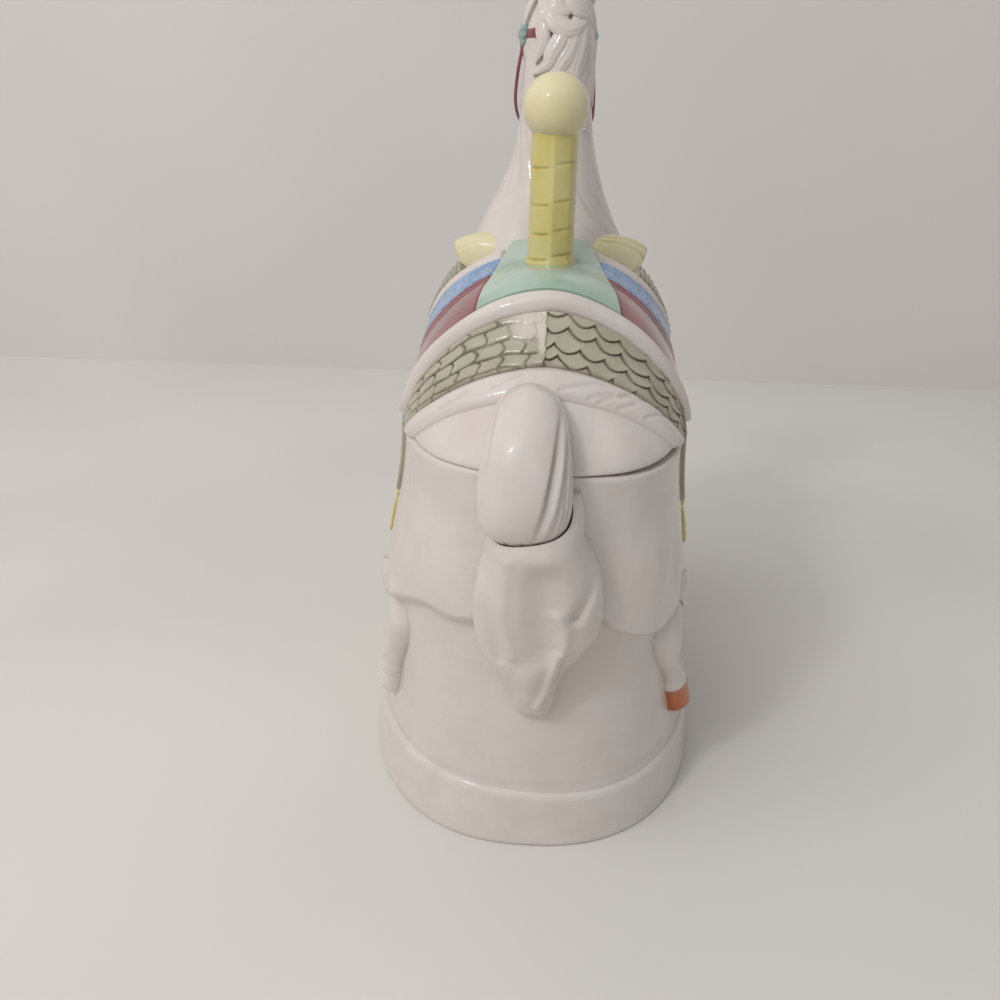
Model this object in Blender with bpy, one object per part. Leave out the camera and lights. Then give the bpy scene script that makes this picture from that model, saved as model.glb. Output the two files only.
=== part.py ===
"""A ceramic cookie jar shaped as a carousel horse.

The jar is the horse's lower half on an oval plinth, open at the top. The lid is the horse's
back, neck and head, with a saddle pole for a knob, and it lifts straight up.
The horse faces +Y, up is +Z, and the origin is the middle of the plinth's underside.
"""

import math

import bmesh
import bpy
from mathutils import Vector

MM = 0.001


def in_metres(rows):
    """A small table written in millimetres."""
    return tuple(tuple(value * MM for value in row) for row in rows)


# Fits between castings
JOINT_GAP = 0.3 * MM
TAIL_CLEARANCE = 0.9 * MM
FLANGE_CLEARANCE = 1.2 * MM

# Plinth, a rounded oval that is a little wider at its foot
PLINTH_HALF_WIDTH = 80 * MM
PLINTH_HALF_LENGTH = 112 * MM
PLINTH_HEIGHT = 29 * MM
PLINTH_TAPER = 2.5 * MM
PLINTH_EDGE_ROUND = 3.5 * MM
PLINTH_FOOT_ROUND = 1.2 * MM
PLINTH_SQUARENESS = 2.6
LEDGE = 2 * MM

# Jar wall, from the ledge up to the rim that carries the lid
SEAM_HEIGHT = 173.4 * MM
RIM_HALF_WIDTH = 60 * MM
RIM_HALF_LENGTH = 104.6 * MM
RIM_SQUARENESS = 2.9
RIM_ROUND = 1.4 * MM
WALL_FLARE = 1.8
WALL_THICKNESS = 5 * MM
FLOOR_THICKNESS = 7 * MM
FLOOR_CORNER = 6 * MM
WALL_RING_COUNT = 12
HOLLOW_RING_COUNT = 5
WALL_SEGMENTS = 48

# The horse's body stands out from the plain wall above its belly line.
# The belly line is given as (share of the half length from the rear, depth below the seam).
END_RELIEF = 5.5 * MM
SIDE_RELIEF = 2.5 * MM
BELLY_EDGE = 9 * MM
BELLY_DEPTH = 70 * MM
HAUNCH_Y = -58 * MM
HAUNCH_DEPTH = 68 * MM
HAUNCH_HALF_LENGTH = 50 * MM
HAUNCH_HALF_HEIGHT = 66 * MM
LEFT_HAUNCH_RELIEF = 8 * MM
RIGHT_HAUNCH_RELIEF = 3 * MM
BELLY_LINE = ((-1.0, 72 * MM), (-0.62, 71 * MM), (-0.29, 61 * MM), (0.05, 70 * MM),
              (0.43, 81 * MM), (0.76, 77 * MM), (1.0, 63 * MM))

# Lid: the back's height over the seam, by share of the half length.
# A section is a rounded arch: one power rounds its top, the other bows its flanks (1 is straight).
BACK_LINE = ((-1.0, 0.0), (-0.95, 9 * MM), (-0.86, 17.5 * MM), (-0.755, 26 * MM),
             (-0.63, 38 * MM), (-0.51, 51.5 * MM), (-0.33, 58 * MM), (-0.1, 58.5 * MM),
             (0.19, 61.5 * MM), (0.48, 64 * MM), (0.76, 50 * MM), (0.93, 23 * MM), (1.0, 0.0))
SECTION_TOP_POWER = ((-1.0, 2.2), (-0.76, 1.6), (-0.44, 1.85), (-0.1, 2.1), (0.33, 2.2), (1.0, 2.1))
SECTION_FLANK_POWER = ((-1.0, 2.2), (-0.76, 1.36), (-0.44, 1.45), (-0.1, 1.5), (0.33, 2.0), (1.0, 2.1))
LID_THICKNESS = 5 * MM
FLANGE_DEPTH = 8 * MM
FLANGE_THICKNESS = 4 * MM
SECTION_SEGMENTS = 18
END_STATION_COUNT = 4
BACK_STATION_COUNT = 11
BAND_ROW_COUNT = 3

# Trappings, from the rump forward: the width of each band over the back.
# The whole back leans forward towards the seam, and some bands' edges lean further.
RUMP_LENGTH = 21 * MM
END_MARGIN = 1 * MM
SHOULDER_LENGTH = 36 * MM
HEM_WIDTH = 11.5 * MM
SCALES_WIDTH = 16.5 * MM
CANTLE_WIDTH = 8.5 * MM
SKIRT_WIDTH = 35 * MM
BLUE_WIDTH = 17 * MM
PIPING_WIDTH = 17 * MM
FRINGE_WIDTH = 12 * MM
ROLL_WIDTH = 21 * MM
SEAT_LENGTH = 72 * MM
HEM_REAR = RUMP_LENGTH - RIM_HALF_LENGTH
HEM_FRONT = HEM_REAR + HEM_WIDTH
SCALES_FRONT = HEM_FRONT + SCALES_WIDTH
CANTLE_FRONT = SCALES_FRONT + CANTLE_WIDTH
SKIRT_FRONT = CANTLE_FRONT + SKIRT_WIDTH
BLUE_FRONT = SKIRT_FRONT + BLUE_WIDTH
PIPING_FRONT = BLUE_FRONT + PIPING_WIDTH
FRINGE_FRONT = PIPING_FRONT + FRINGE_WIDTH
ROLL_REAR = PIPING_FRONT + JOINT_GAP
ROLL_FRONT = ROLL_REAR + ROLL_WIDTH
SEAT_FRONT = CANTLE_FRONT + SEAT_LENGTH
SHOULDER_END = RIM_HALF_LENGTH - SHOULDER_LENGTH
BAND_LEAN = 13 * MM
BAND_ROOT = 1 * MM
SKIRT_EXTRA_LEAN = 20 * MM
BLUE_EXTRA_LEAN = 24 * MM
PIPING_EXTRA_LEAN = 12 * MM
FRINGE_EXTRA_LEAN = 10 * MM
LEAN_RUN_IN = 24 * MM
HEM_EDGE_LIFT = 1.4 * MM
HEM_LIFT = 2.8 * MM
SCALES_LIFT = 2.0 * MM
CANTLE_LIFT = 5.0 * MM
SEAT_LIFT = 2.5 * MM
SKIRT_LIFT = 2.2 * MM
BLUE_LIFT = 1.7 * MM
PIPING_LIFT = 2.2 * MM
FRINGE_LIFT = 3.4 * MM
ROLL_EDGE_LIFT = 1.5 * MM
ROLL_LIFT = 7.0 * MM
ROLL_RIDGE_COUNT = 4
ROLL_RIDGE_DEPTH = 0.25
SEAT_REAR_CLIMB = math.radians(58.5)
SEAT_FRONT_CLIMB = math.radians(75)
FLANK_LOW_CLIMB = math.radians(12)
SEAT_SIDE_GAP = math.radians(0.8)
ROLL_LOW_CLIMB = math.radians(44)
ROLL_TOP_CLIMB = math.radians(72)

# Blanket's lower corners on the jar, and their tassels
FLAP_DEPTH = 26 * MM
FLAP_REAR_SETBACK = 3 * MM
FLAP_LENGTH = 100 * MM
FLAP_LIFT = 2.4 * MM
FLAP_SCALLOP_COUNT = 4
FLAP_SCALLOP_SHARE = 0.18
FLAP_LEVEL_COUNT = 2
TASSEL_LENGTH = 24 * MM
TASSEL_RADIUS = 4.2 * MM
TASSEL_BASE = 0.8 * MM
TASSEL_FLATNESS = 0.4
TASSEL_SEGMENTS = 4
# Share of the length from the top, share of the radius
TASSEL_PROFILE = ((0.0, 0.6), (0.12, 0.85), (0.22, 0.55), (0.45, 0.85), (0.8, 1.0), (1.0, 0.9))

# Saddle pole with its ball
POLE_RADIUS = 9.8 * MM
POLE_Y = -8 * MM
BALL_RADIUS = 13.7 * MM
BALL_RISE = 122.6 * MM
POLE_SEGMENTS = 18
BALL_RING_COUNT = 11
POLE_GROOVE_COUNT = 3
GROOVE_PITCH = 16 * MM
GROOVE_RADIUS = 1.1 * MM
GROOVE_TILT = math.radians(-7)

# Neck: height over the seam, middle along the horse, half width, half depth
NECK_RINGS = in_metres((
    (12, 57, 46, 45.5),
    (44, 55, 42, 43),
    (66, 57, 31, 34),
    (84, 59, 23.5, 26.5),
    (107, 60, 18, 20.5),
    (130, 61, 16, 17.5),
    (150, 62, 14.5, 15),
    (164, 63.5, 11, 11),
    (171, 64, 6, 6),
))
NECK_SQUARENESS = 2.2
NECK_RING_COUNT = 11
NECK_SEGMENTS = 20
NECK_WALL = 5 * MM
BORE_WIDEST = 66 * MM
BORE_TOP = 138 * MM

# Mane, a shell over the crest and down the neck's right side
MANE_FOOT = 98 * MM
MANE_TOP = 158 * MM
MANE_FIRST_SEGMENT = -2
MANE_LAST_SEGMENT = 5
MANE_EDGE_LIFT = 1 * MM
MANE_LIFT = 4 * MM
MANE_WAVE = 1.6 * MM
MANE_LOCK = 34 * MM

# Head: distance down the face from the poll, half width, half depth
HEAD_RINGS = in_metres((
    (0, 5.5, 6),
    (4, 10.5, 12),
    (12, 14.5, 17),
    (24, 16.8, 18.5),
    (36, 14, 15.5),
    (48, 10.8, 11.8),
    (59, 9.5, 10),
    (69, 9.8, 10.2),
    (76, 7.8, 8.4),
    (80, 3.5, 4.5),
))
HEAD_SQUARENESS = 2.3
HEAD_SEGMENTS = 16
POLL_Y = 64 * MM
POLL_RISE = 173.6 * MM
HEAD_PITCH = math.radians(48)
EAR_LENGTH = 24 * MM
EAR_RADIUS = 6.2 * MM
EAR_TIP_RADIUS = 0.8 * MM
EAR_SPREAD = 8.5 * MM
EAR_Y = 61 * MM
EAR_TIP_RISE = 183.6 * MM
EAR_BACKWARD = math.radians(6)
EAR_OUTWARD = math.radians(8)
EAR_SEGMENTS = 10
ROSETTE_RADIUS = 5.0 * MM
ROSETTE_X = 15 * MM
ROSETTE_Y = 61 * MM
ROSETTE_RISE = 149 * MM
ROSETTE_SEGMENTS = 10
ROSETTE_RING_COUNT = 7

# Tail that lies on the lid: middle to the left, middle behind the rim's rear, height over the
# seam, half width, half thickness
UPPER_TAIL = in_metres((
    (5.5, -25.6, 16.5, 8, 6),
    (5.5, -19.6, 20, 11.5, 10),
    (5.5, -8.6, 19, 14, 11.5),
    (5.8, 1.9, 12, 16.2, 12.5),
    (6, 8.4, 0.6, 17.6, 12.8),
    (6, 10.4, -10.4, 17.2, 12),
    (5.8, 9.9, -17.4, 14.5, 9.5),
    (5.6, 9.4, -20.4, 8.5, 5.5),
))

# Tail that lies on the jar: depth below the seam, middle to the right, half width, stand-out
LOWER_TAIL = in_metres((
    (5.4, 9, 6, 5),
    (13.4, 2, 15, 15),
    (22.4, -1, 18.5, 21.5),
    (30.4, 0, 21.5, 20.5),
    (40.4, 0.5, 24.5, 18),
    (54.4, 0.5, 26, 15.5),
    (66.4, 0, 24.5, 14.5),
    (75.4, -1.5, 20.5, 13.5),
    (84.4, -2, 15, 12),
    (93.4, -1, 11, 9.5),
    (101.4, -0.5, 8, 7),
    (105.4, 0, 5, 5),
))
TAIL_SEGMENTS = 14

# Legs in relief, seen from the side: place along the horse, depth below the seam, radius,
# stand-out from the wall
HIND_LEG = in_metres((
    (-58, 56.4, 8, 1),
    (-61, 62.4, 12, 1.5),
    (-66, 71.4, 13, 2.5),
    (-73, 82.4, 9.4, 5),
    (-73, 90.4, 7.4, 5.5),
    (-68, 100.4, 6.2, 6),
    (-64, 108.4, 6.4, 6.8),
    (-62, 113.4, 7, 7.5),
))
FORE_LEG = in_metres((
    (52, 57.4, 8, 2),
    (58, 62.4, 12, 4),
    (72, 75.4, 11, 6),
    (83, 86.4, 8.8, 7.5),
    (86, 94.4, 8, 8),
    (78, 103.4, 6.2, 7.5),
    (67, 110.4, 5.8, 7.2),
    (61, 113.4, 6.8, 8),
))
LEG_SEGMENTS = 12
RIGHT_HIND_DROP = 3 * MM
LEFT_FORE_RISE = 8 * MM
HOOF_LENGTH = 15 * MM
HOOF_TOP_RADIUS = 7.2 * MM
HOOF_END_RADIUS = 8.6 * MM

# Glazes: linear red, green and blue, then roughness
GLAZES = {
    "white_glaze": (0.72, 0.66, 0.63, 0.16),
    "scale_glaze": (0.42, 0.39, 0.30, 0.35),
    "mint_glaze": (0.40, 0.55, 0.46, 0.18),
    "rose_glaze": (0.36, 0.10, 0.12, 0.20),
    "blue_glaze": (0.22, 0.36, 0.58, 0.25),
    "yellow_glaze": (0.64, 0.52, 0.13, 0.20),
    "cream_glaze": (0.68, 0.60, 0.34, 0.25),
    "brown_glaze": (0.38, 0.07, 0.01, 0.20),
    "teal_glaze": (0.25, 0.36, 0.32, 0.25),
}


def clear_scene():
    """Removes whatever a new file starts with."""
    for thing in list(bpy.data.objects):
        bpy.data.objects.remove(thing, do_unlink=True)


def make_collection(name):
    """A collection of its own for the parts or the cutters."""
    collection = bpy.data.collections.new(name)
    bpy.context.scene.collection.children.link(collection)
    return collection


def glaze(name):
    """A glazed ceramic with its own colour and roughness."""
    material = bpy.data.materials.get(name)
    if material is None:
        *colour, roughness = GLAZES[name]
        material = bpy.data.materials.new(name)
        material.use_nodes = True
        shader = material.node_tree.nodes["Principled BSDF"]
        shader.inputs["Base Color"].default_value = (*colour, 1.0)
        shader.inputs["Roughness"].default_value = roughness
        shader.inputs["Metallic"].default_value = 0.0
    return material


def ease(value):
    """Rises from 0 to 1 with level ends."""
    held = min(max(value, 0.0), 1.0)
    return held * held * (3 - 2 * held)


def along(points, place):
    """The value at a place on the smooth curve through a few (place, value) points."""
    if place <= points[0][0]:
        return points[0][1]
    if place >= points[-1][0]:
        return points[-1][1]
    index = max(i for i, point in enumerate(points[:-1]) if point[0] <= place)
    (start, low), (end, high) = points[index], points[index + 1]

    def slope(i):
        before, after = max(i - 1, 0), min(i + 1, len(points) - 1)
        return (points[after][1] - points[before][1]) / (points[after][0] - points[before][0])

    span = end - start
    t = (place - start) / span
    lean_in = t * (1 - t) ** 2 * span * slope(index)
    lean_out = t * t * (t - 1) * span * slope(index + 1)
    return low + (high - low) * ease(t) + lean_in + lean_out


def spread(start, end, count):
    """Evenly spaced values from start to end, both included."""
    return [start + (end - start) * i / count for i in range(count + 1)]


def turns(count):
    """Directions all the way round."""
    return spread(0.0, 2 * math.pi, count)[:-1]


def oval_point(turn, half_width, half_length, squareness, height):
    """A point of a level rounded oval, in the direction turn from the rear (-Y)."""
    across = abs(math.sin(turn)) / half_width
    lengthwise = abs(math.cos(turn)) / half_length
    radius = (across ** squareness + lengthwise ** squareness) ** (-1 / squareness)
    return Vector((radius * math.sin(turn), -radius * math.cos(turn), height))


def skin(builder, rows, closed):
    """Adds a grid of faces over rows of points; closed joins each row's end to its start.

    Each square is split the same way, so that a surface and its larger copy stay parallel.
    """
    made = [[builder.verts.new(point) for point in row] for row in rows]
    for low, high in zip(made, made[1:]):
        last = len(low) if closed else len(low) - 1
        for i in range(last):
            j = (i + 1) % len(low)
            builder.faces.new((low[i], low[j], high[j]))
            builder.faces.new((low[i], high[j], high[i]))
    return made


def shade_round(mesh):
    """Smooth shading that keeps real corners sharp."""
    mesh.shade_smooth()
    mesh.set_sharp_from_angle(angle=math.radians(40))


def finish(name, builder, collection, material):
    """Merges coincident points, faces everything outwards and makes the object."""
    bmesh.ops.remove_doubles(builder, verts=builder.verts, dist=0.01 * MM)
    bmesh.ops.dissolve_degenerate(builder, edges=builder.edges, dist=0.005 * MM)
    bmesh.ops.recalc_face_normals(builder, faces=builder.faces)
    mesh = bpy.data.meshes.new(name)
    builder.to_mesh(mesh)
    builder.free()
    shade_round(mesh)
    if material:
        mesh.materials.append(material)
    thing = bpy.data.objects.new(name, mesh)
    collection.objects.link(thing)
    return thing


def loft(name, rings, collection, material=None):
    """A closed solid over rings of points, with both ends filled."""
    builder = bmesh.new()
    made = skin(builder, rings, closed=True)
    builder.faces.new(reversed(made[0]))
    builder.faces.new(made[-1])
    return finish(name, builder, collection, material)


def panel(name, outer, inner, collection, material=None):
    """A raised panel: an outer grid, an inner grid of the same size, and walls between them."""
    builder = bmesh.new()
    skin(builder, outer, closed=False)
    skin(builder, inner, closed=False)
    for edge in (0, -1):
        skin(builder, [outer[edge], inner[edge]], closed=False)
        skin(builder, [[row[edge] for row in outer], [row[edge] for row in inner]], closed=False)
    return finish(name, builder, collection, material)


def adopt(name, collection, material=None):
    """Names the primitive that was just added and moves it into a collection."""
    thing = bpy.context.object
    for owner in list(thing.users_collection):
        owner.objects.unlink(thing)
    collection.objects.link(thing)
    thing.name = name
    thing.data.name = name
    if material:
        thing.data.materials.append(material)
    shade_round(thing.data)
    return thing


def as_cutter(thing):
    """Marks an object as a cutter, which isn't part of the model."""
    thing.hide_render = True
    thing.display_type = "WIRE"
    return thing


def boolean(thing, other, operation="DIFFERENCE"):
    """Cuts an object with another, or joins the two."""
    step = thing.modifiers.new(operation.title(), "BOOLEAN")
    step.object = other
    step.operation = operation
    step.solver = "EXACT"


def path_rings(points, sides, lift=0.0):
    """Rings square to a path; its points are (x, y, z, half width, half thickness)."""
    rings = []
    last = len(points) - 1
    for i, (x, y, z, half_width, half_thickness) in enumerate(points):
        before, after = points[max(i - 1, 0)], points[min(i + 1, last)]
        onward = Vector((0, after[1] - before[1], after[2] - before[2])).normalized()
        outward = Vector((1, 0, 0)).cross(onward)
        end_lift = {0: -lift, last: lift}.get(i, 0.0)
        middle = Vector((x, y, z)) + onward * end_lift
        rings.append([
            middle + Vector(((half_width + lift) * math.cos(turn), 0, 0))
            + outward * (half_thickness + lift) * math.sin(turn)
            for turn in turns(sides)
        ])
    return rings


def wall_sizes(height):
    """Half width, half length and squareness of the plain wall at a height."""
    fall = max((SEAM_HEIGHT - height) / (SEAM_HEIGHT - PLINTH_HEIGHT), 0.0)
    foot_width = PLINTH_HALF_WIDTH - PLINTH_TAPER - LEDGE
    foot_length = PLINTH_HALF_LENGTH - PLINTH_TAPER - LEDGE
    top_width = RIM_HALF_WIDTH - SIDE_RELIEF
    top_length = RIM_HALF_LENGTH - END_RELIEF
    half_width = top_width + (foot_width - top_width) * fall ** WALL_FLARE
    half_length = top_length + (foot_length - top_length) * fall ** WALL_FLARE
    squareness = RIM_SQUARENESS + (PLINTH_SQUARENESS - RIM_SQUARENESS) * fall
    return half_width, half_length, squareness


def body_relief(turn, y, height):
    """How far the horse's body stands out from the plain wall."""
    relief = SIDE_RELIEF + (END_RELIEF - SIDE_RELIEF) * math.cos(turn) ** 2
    belly = SEAM_HEIGHT - along(BELLY_LINE, y / RIM_HALF_LENGTH)
    haunch_away = math.hypot((y - HAUNCH_Y) / HAUNCH_HALF_LENGTH,
                             (height - SEAM_HEIGHT + HAUNCH_DEPTH) / HAUNCH_HALF_HEIGHT)
    haunch = RIGHT_HAUNCH_RELIEF if math.sin(turn) > 0 else LEFT_HAUNCH_RELIEF
    return relief * ease((height - belly) / BELLY_EDGE + 0.5) + haunch * ease(1 - haunch_away)


def wall_point(turn, height, lift=0.0):
    """A point of the jar's outer wall, with the horse's body in relief."""
    half_width, half_length, squareness = wall_sizes(height)
    plain = oval_point(turn, half_width, half_length, squareness, height)
    out = body_relief(turn, plain.y, height) + lift
    return oval_point(turn, half_width + out, half_length + out, squareness, height)


def wall_side(y, height, side, lift=0.0):
    """The wall's point at a place along the horse, on its right (1) or left (-1) side."""
    low, high = 0.0, math.pi
    for _ in range(20):
        middle = (low + high) / 2
        if wall_point(side * middle, height).y < y:
            low = middle
        else:
            high = middle
    return wall_point(side * low, height, lift)


def plinth_ring(height, inset, lift):
    """A level ring of the plinth, which narrows by its taper from foot to top."""
    narrowing = PLINTH_TAPER * height / PLINTH_HEIGHT + inset - lift
    return [
        oval_point(turn, PLINTH_HALF_WIDTH - narrowing, PLINTH_HALF_LENGTH - narrowing,
                   PLINTH_SQUARENESS, height)
        for turn in turns(WALL_SEGMENTS)
    ]


def wall_ring(height, lift):
    """A level ring of the jar's outer wall."""
    return [wall_point(turn, height, lift) for turn in turns(WALL_SEGMENTS)]


def wall_heights():
    """Levels of the wall's rings, closer together where the body's relief begins."""
    low, high = PLINTH_HEIGHT + PLINTH_EDGE_ROUND, SEAM_HEIGHT - RIM_ROUND
    belly = SEAM_HEIGHT - BELLY_DEPTH
    heights = []
    for share in spread(-1.0, 1.0, WALL_RING_COUNT - 1):
        reach = high - belly if share > 0 else belly - low
        heights.append(belly + reach * share * (0.45 + 0.55 * share * share))
    return heights


def jar_outer_rings(lift=0.0):
    """Rings of the jar's outside, from the foot up to where the rim's rounding starts."""
    rings = [plinth_ring(0.0, PLINTH_FOOT_ROUND, lift), plinth_ring(PLINTH_FOOT_ROUND, 0.0, lift)]
    for corner in spread(0.0, math.pi / 2, 2):
        height = PLINTH_HEIGHT - PLINTH_EDGE_ROUND * (1 - math.sin(corner))
        rings.append(plinth_ring(height, LEDGE * (1 - math.cos(corner)), lift))
    return rings + [wall_ring(height, lift) for height in wall_heights()]


def hollow_ring(height, inset):
    """A level ring of the jar's hollow, a wall's thickness inside the outside."""
    half_width, half_length, squareness = wall_sizes(max(height, PLINTH_HEIGHT))
    share = ease((height - PLINTH_HEIGHT) / (SEAM_HEIGHT - PLINTH_HEIGHT))
    inner = WALL_THICKNESS + inset
    return [
        oval_point(turn, half_width - inner + SIDE_RELIEF * share,
                   half_length - inner + END_RELIEF * share, squareness, height)
        for turn in turns(WALL_SEGMENTS)
    ]


def make_jar_body(parts):
    """The open pot: plinth, wall with the horse's body in relief, rounded rim and hollow."""
    rings = jar_outer_rings()
    rings.append(wall_ring(SEAM_HEIGHT, -RIM_ROUND))
    rings.append(hollow_ring(SEAM_HEIGHT, -RIM_ROUND))
    for height in spread(SEAM_HEIGHT - RIM_ROUND, PLINTH_HEIGHT, HOLLOW_RING_COUNT):
        rings.append(hollow_ring(height, 0.0))
    rings.append(hollow_ring(FLOOR_THICKNESS + FLOOR_CORNER, 0.0))
    rings.append(hollow_ring(FLOOR_THICKNESS, FLOOR_CORNER))
    return loft("jar_body", rings, parts, glaze("white_glaze"))


def make_jar_cutter(name, cutters, lift):
    """The jar's outside as a plain solid, a little larger, to cut what lies on it."""
    rings = jar_outer_rings(lift)
    rings.append(wall_ring(SEAM_HEIGHT + 2 * lift, lift))
    return as_cutter(loft(name, rings, cutters))


def lower_tail_rings():
    """Level rings of the jar's tail, standing out from the wall's rear."""
    rings = []
    for depth, middle, half_width, stand_out in LOWER_TAIL:
        height = SEAM_HEIGHT - depth
        wall_y = wall_point(0.0, height).y
        rings.append([
            Vector((middle + half_width * math.cos(turn), wall_y - stand_out * math.sin(turn), height))
            for turn in turns(TAIL_SEGMENTS)
        ])
    return rings


def make_lower_tail(parts, cuts):
    """The leaf of tail on the jar, cupped at its top for the end of the lid's tail."""
    tail = loft("lower_tail", lower_tail_rings(), parts, glaze("white_glaze"))
    boolean(tail, cuts["jar"])
    boolean(tail, cuts["tail_end"])


def leg_points(leg, side, drop):
    """The leg's path on the jar's side; the drop grows from the body to the foot."""
    points = []
    for share, (y, depth, radius, stand_out) in zip(spread(0.0, 1.0, len(leg) - 1), leg):
        height = SEAM_HEIGHT - depth - drop * share
        middle = wall_side(y, height, side, stand_out - radius)
        points.append((*middle, radius, radius))
    return points


def hoof_points(leg_end, before):
    """The hoof's path: it goes on in the leg's direction, a joint's gap away."""
    end = Vector(leg_end[:3])
    onward = (end - Vector(before[:3])).normalized()
    top = end + onward * JOINT_GAP
    bottom = top + onward * HOOF_LENGTH
    return [(*top, HOOF_TOP_RADIUS, HOOF_TOP_RADIUS), (*bottom, HOOF_END_RADIUS, HOOF_END_RADIUS)]


def make_legs(parts, cuts):
    """Four bent legs in half relief on the jar's sides, each with its painted hoof."""
    legs = (
        ("right_hind", HIND_LEG, 1, RIGHT_HIND_DROP),
        ("left_hind", HIND_LEG, -1, 0.0),
        ("right_fore", FORE_LEG, 1, 0.0),
        ("left_fore", FORE_LEG, -1, -LEFT_FORE_RISE),
    )
    for name, leg, side, drop in legs:
        points = leg_points(leg, side, drop)
        limb = loft(f"{name}_leg", path_rings(points, LEG_SEGMENTS), parts, glaze("white_glaze"))
        boolean(limb, cuts["jar"])
        hoof_rings = path_rings(hoof_points(points[-1], points[-2]), LEG_SEGMENTS)
        hoof = loft(f"{name}_hoof", hoof_rings, parts, glaze("brown_glaze"))
        boolean(hoof, cuts["jar"])


def make_flap(prefix, side, parts, cuts):
    """The blanket's lower part on the jar's side, with a scalloped edge."""
    rear = HEM_REAR + BAND_LEAN + FLAP_REAR_SETBACK
    top = SEAM_HEIGHT - 2 * JOINT_GAP
    outer, inner = [], []
    for share in spread(0.0, 1.0, 3 * FLAP_SCALLOP_COUNT):
        y = rear + FLAP_LENGTH * share
        scallop = abs(math.cos(math.pi * FLAP_SCALLOP_COUNT * share))
        depth = FLAP_DEPTH * (1 - FLAP_SCALLOP_SHARE * (1 - scallop))
        levels = spread(top, top - depth, FLAP_LEVEL_COUNT)
        outer.append([wall_side(y, height, side, FLAP_LIFT) for height in levels])
        inner.append([wall_side(y, height, side, -BAND_ROOT) for height in levels])
    flap = panel(f"{prefix}_blanket_flap", outer, inner, parts, glaze("scale_glaze"))
    boolean(flap, cuts["jar"])
    ends = (("rear", rear + TASSEL_RADIUS), ("front", rear + FLAP_LENGTH - TASSEL_RADIUS))
    for place, y in ends:
        make_tassel(f"{prefix}_{place}_tassel", y, side, parts, cuts)


def make_tassel(name, y, side, parts, cuts):
    """A knot over a skirt of threads, hanging from the blanket's corner."""
    top = SEAM_HEIGHT - 2 * JOINT_GAP - FLAP_DEPTH - JOINT_GAP
    angles = spread(-math.pi / 2, math.pi / 2, TASSEL_SEGMENTS)
    outer, inner = [], []
    for share, width in TASSEL_PROFILE:
        half = TASSEL_RADIUS * width
        height = top - TASSEL_LENGTH * share
        places = [y + half * math.sin(angle) for angle in angles]
        lifts = [TASSEL_BASE + TASSEL_FLATNESS * half * math.cos(angle) for angle in angles]
        outer.append([wall_side(place, height, side, lift) for place, lift in zip(places, lifts)])
        inner.append([wall_side(place, height, side, -BAND_ROOT) for place in places])
    tassel = panel(name, outer, inner, parts, glaze("yellow_glaze"))
    boolean(tassel, cuts["jar"])


def leaned(y, climb):
    """Sections lean: each lies further forward at the seam than over the back."""
    from_end = ease((RIM_HALF_LENGTH - abs(y)) / LEAN_RUN_IN)
    return y + BAND_LEAN * from_end * (1 - math.sin(climb))


def lid_half_width(y):
    """Half the lid's width at the seam, at a place along the horse."""
    share = min(abs(y) / RIM_HALF_LENGTH, 1.0)
    return RIM_HALF_WIDTH * (1 - share ** RIM_SQUARENESS) ** (1 / RIM_SQUARENESS)


def lid_point(y, climb, lift=0.0):
    """A point of the lid's outside: climb goes over the back from the right seam to the left."""
    place = leaned(y, climb)
    share = place / RIM_HALF_LENGTH
    top_power = 2 / along(SECTION_TOP_POWER, share)
    flank_power = 2 / along(SECTION_FLANK_POWER, share)
    across = math.copysign(abs(math.cos(climb)) ** top_power, math.cos(climb))
    rise = along(BACK_LINE, share) * abs(math.sin(climb)) ** flank_power
    point = Vector((lid_half_width(place) * across, place, SEAM_HEIGHT + JOINT_GAP + rise))
    return point + lid_normal(y, climb) * lift if lift else point


def lid_normal(y, climb):
    """Outward direction of the lid's surface, from its slopes along and over the back."""
    step, small = 1 * MM, 0.02
    reach = RIM_HALF_LENGTH - 2 * step
    near = min(max(y, -reach), reach)
    inner = min(max(climb, 2 * small), math.pi - 2 * small)
    lengthwise = lid_point(near + step, inner) - lid_point(near - step, inner)
    over = lid_point(near, inner + small) - lid_point(near, inner - small)
    normal = lengthwise.cross(over)
    return normal.normalized() if normal.z > 0 else -normal.normalized()


def lid_stations():
    """Places along the horse for the lid's sections, closer together at its two ends."""
    sweep = math.acos((END_MARGIN - HEM_REAR) / RIM_HALF_LENGTH)
    ends = [-RIM_HALF_LENGTH * math.cos(angle) for angle in spread(0.0, sweep, END_STATION_COUNT)]
    bands = [HEM_REAR, HEM_FRONT, (HEM_FRONT + SCALES_FRONT) / 2]
    bands += spread(SCALES_FRONT, SHOULDER_END, BACK_STATION_COUNT)
    return ends + bands + [-y for y in reversed(ends)]


def lid_rows(lift=0.0):
    """The lid's outside as a grid of points, one row for each station."""
    climbs = spread(0.0, math.pi, SECTION_SEGMENTS)
    return [[lid_point(y, climb, lift) for climb in climbs] for y in lid_stations()]


def lid_edge(inset, height):
    """A level loop under the lid's edge, with a point for each station on either side."""
    across = (RIM_HALF_WIDTH - inset) / RIM_HALF_WIDTH
    lengthwise = (RIM_HALF_LENGTH - inset) / RIM_HALF_LENGTH
    rims = [leaned(y, 0.0) for y in lid_stations()]
    right = [Vector((across * lid_half_width(y), lengthwise * y, height)) for y in rims]
    left = [Vector((-point.x, point.y, point.z)) for point in reversed(right[1:-1])]
    return right + left


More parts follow.
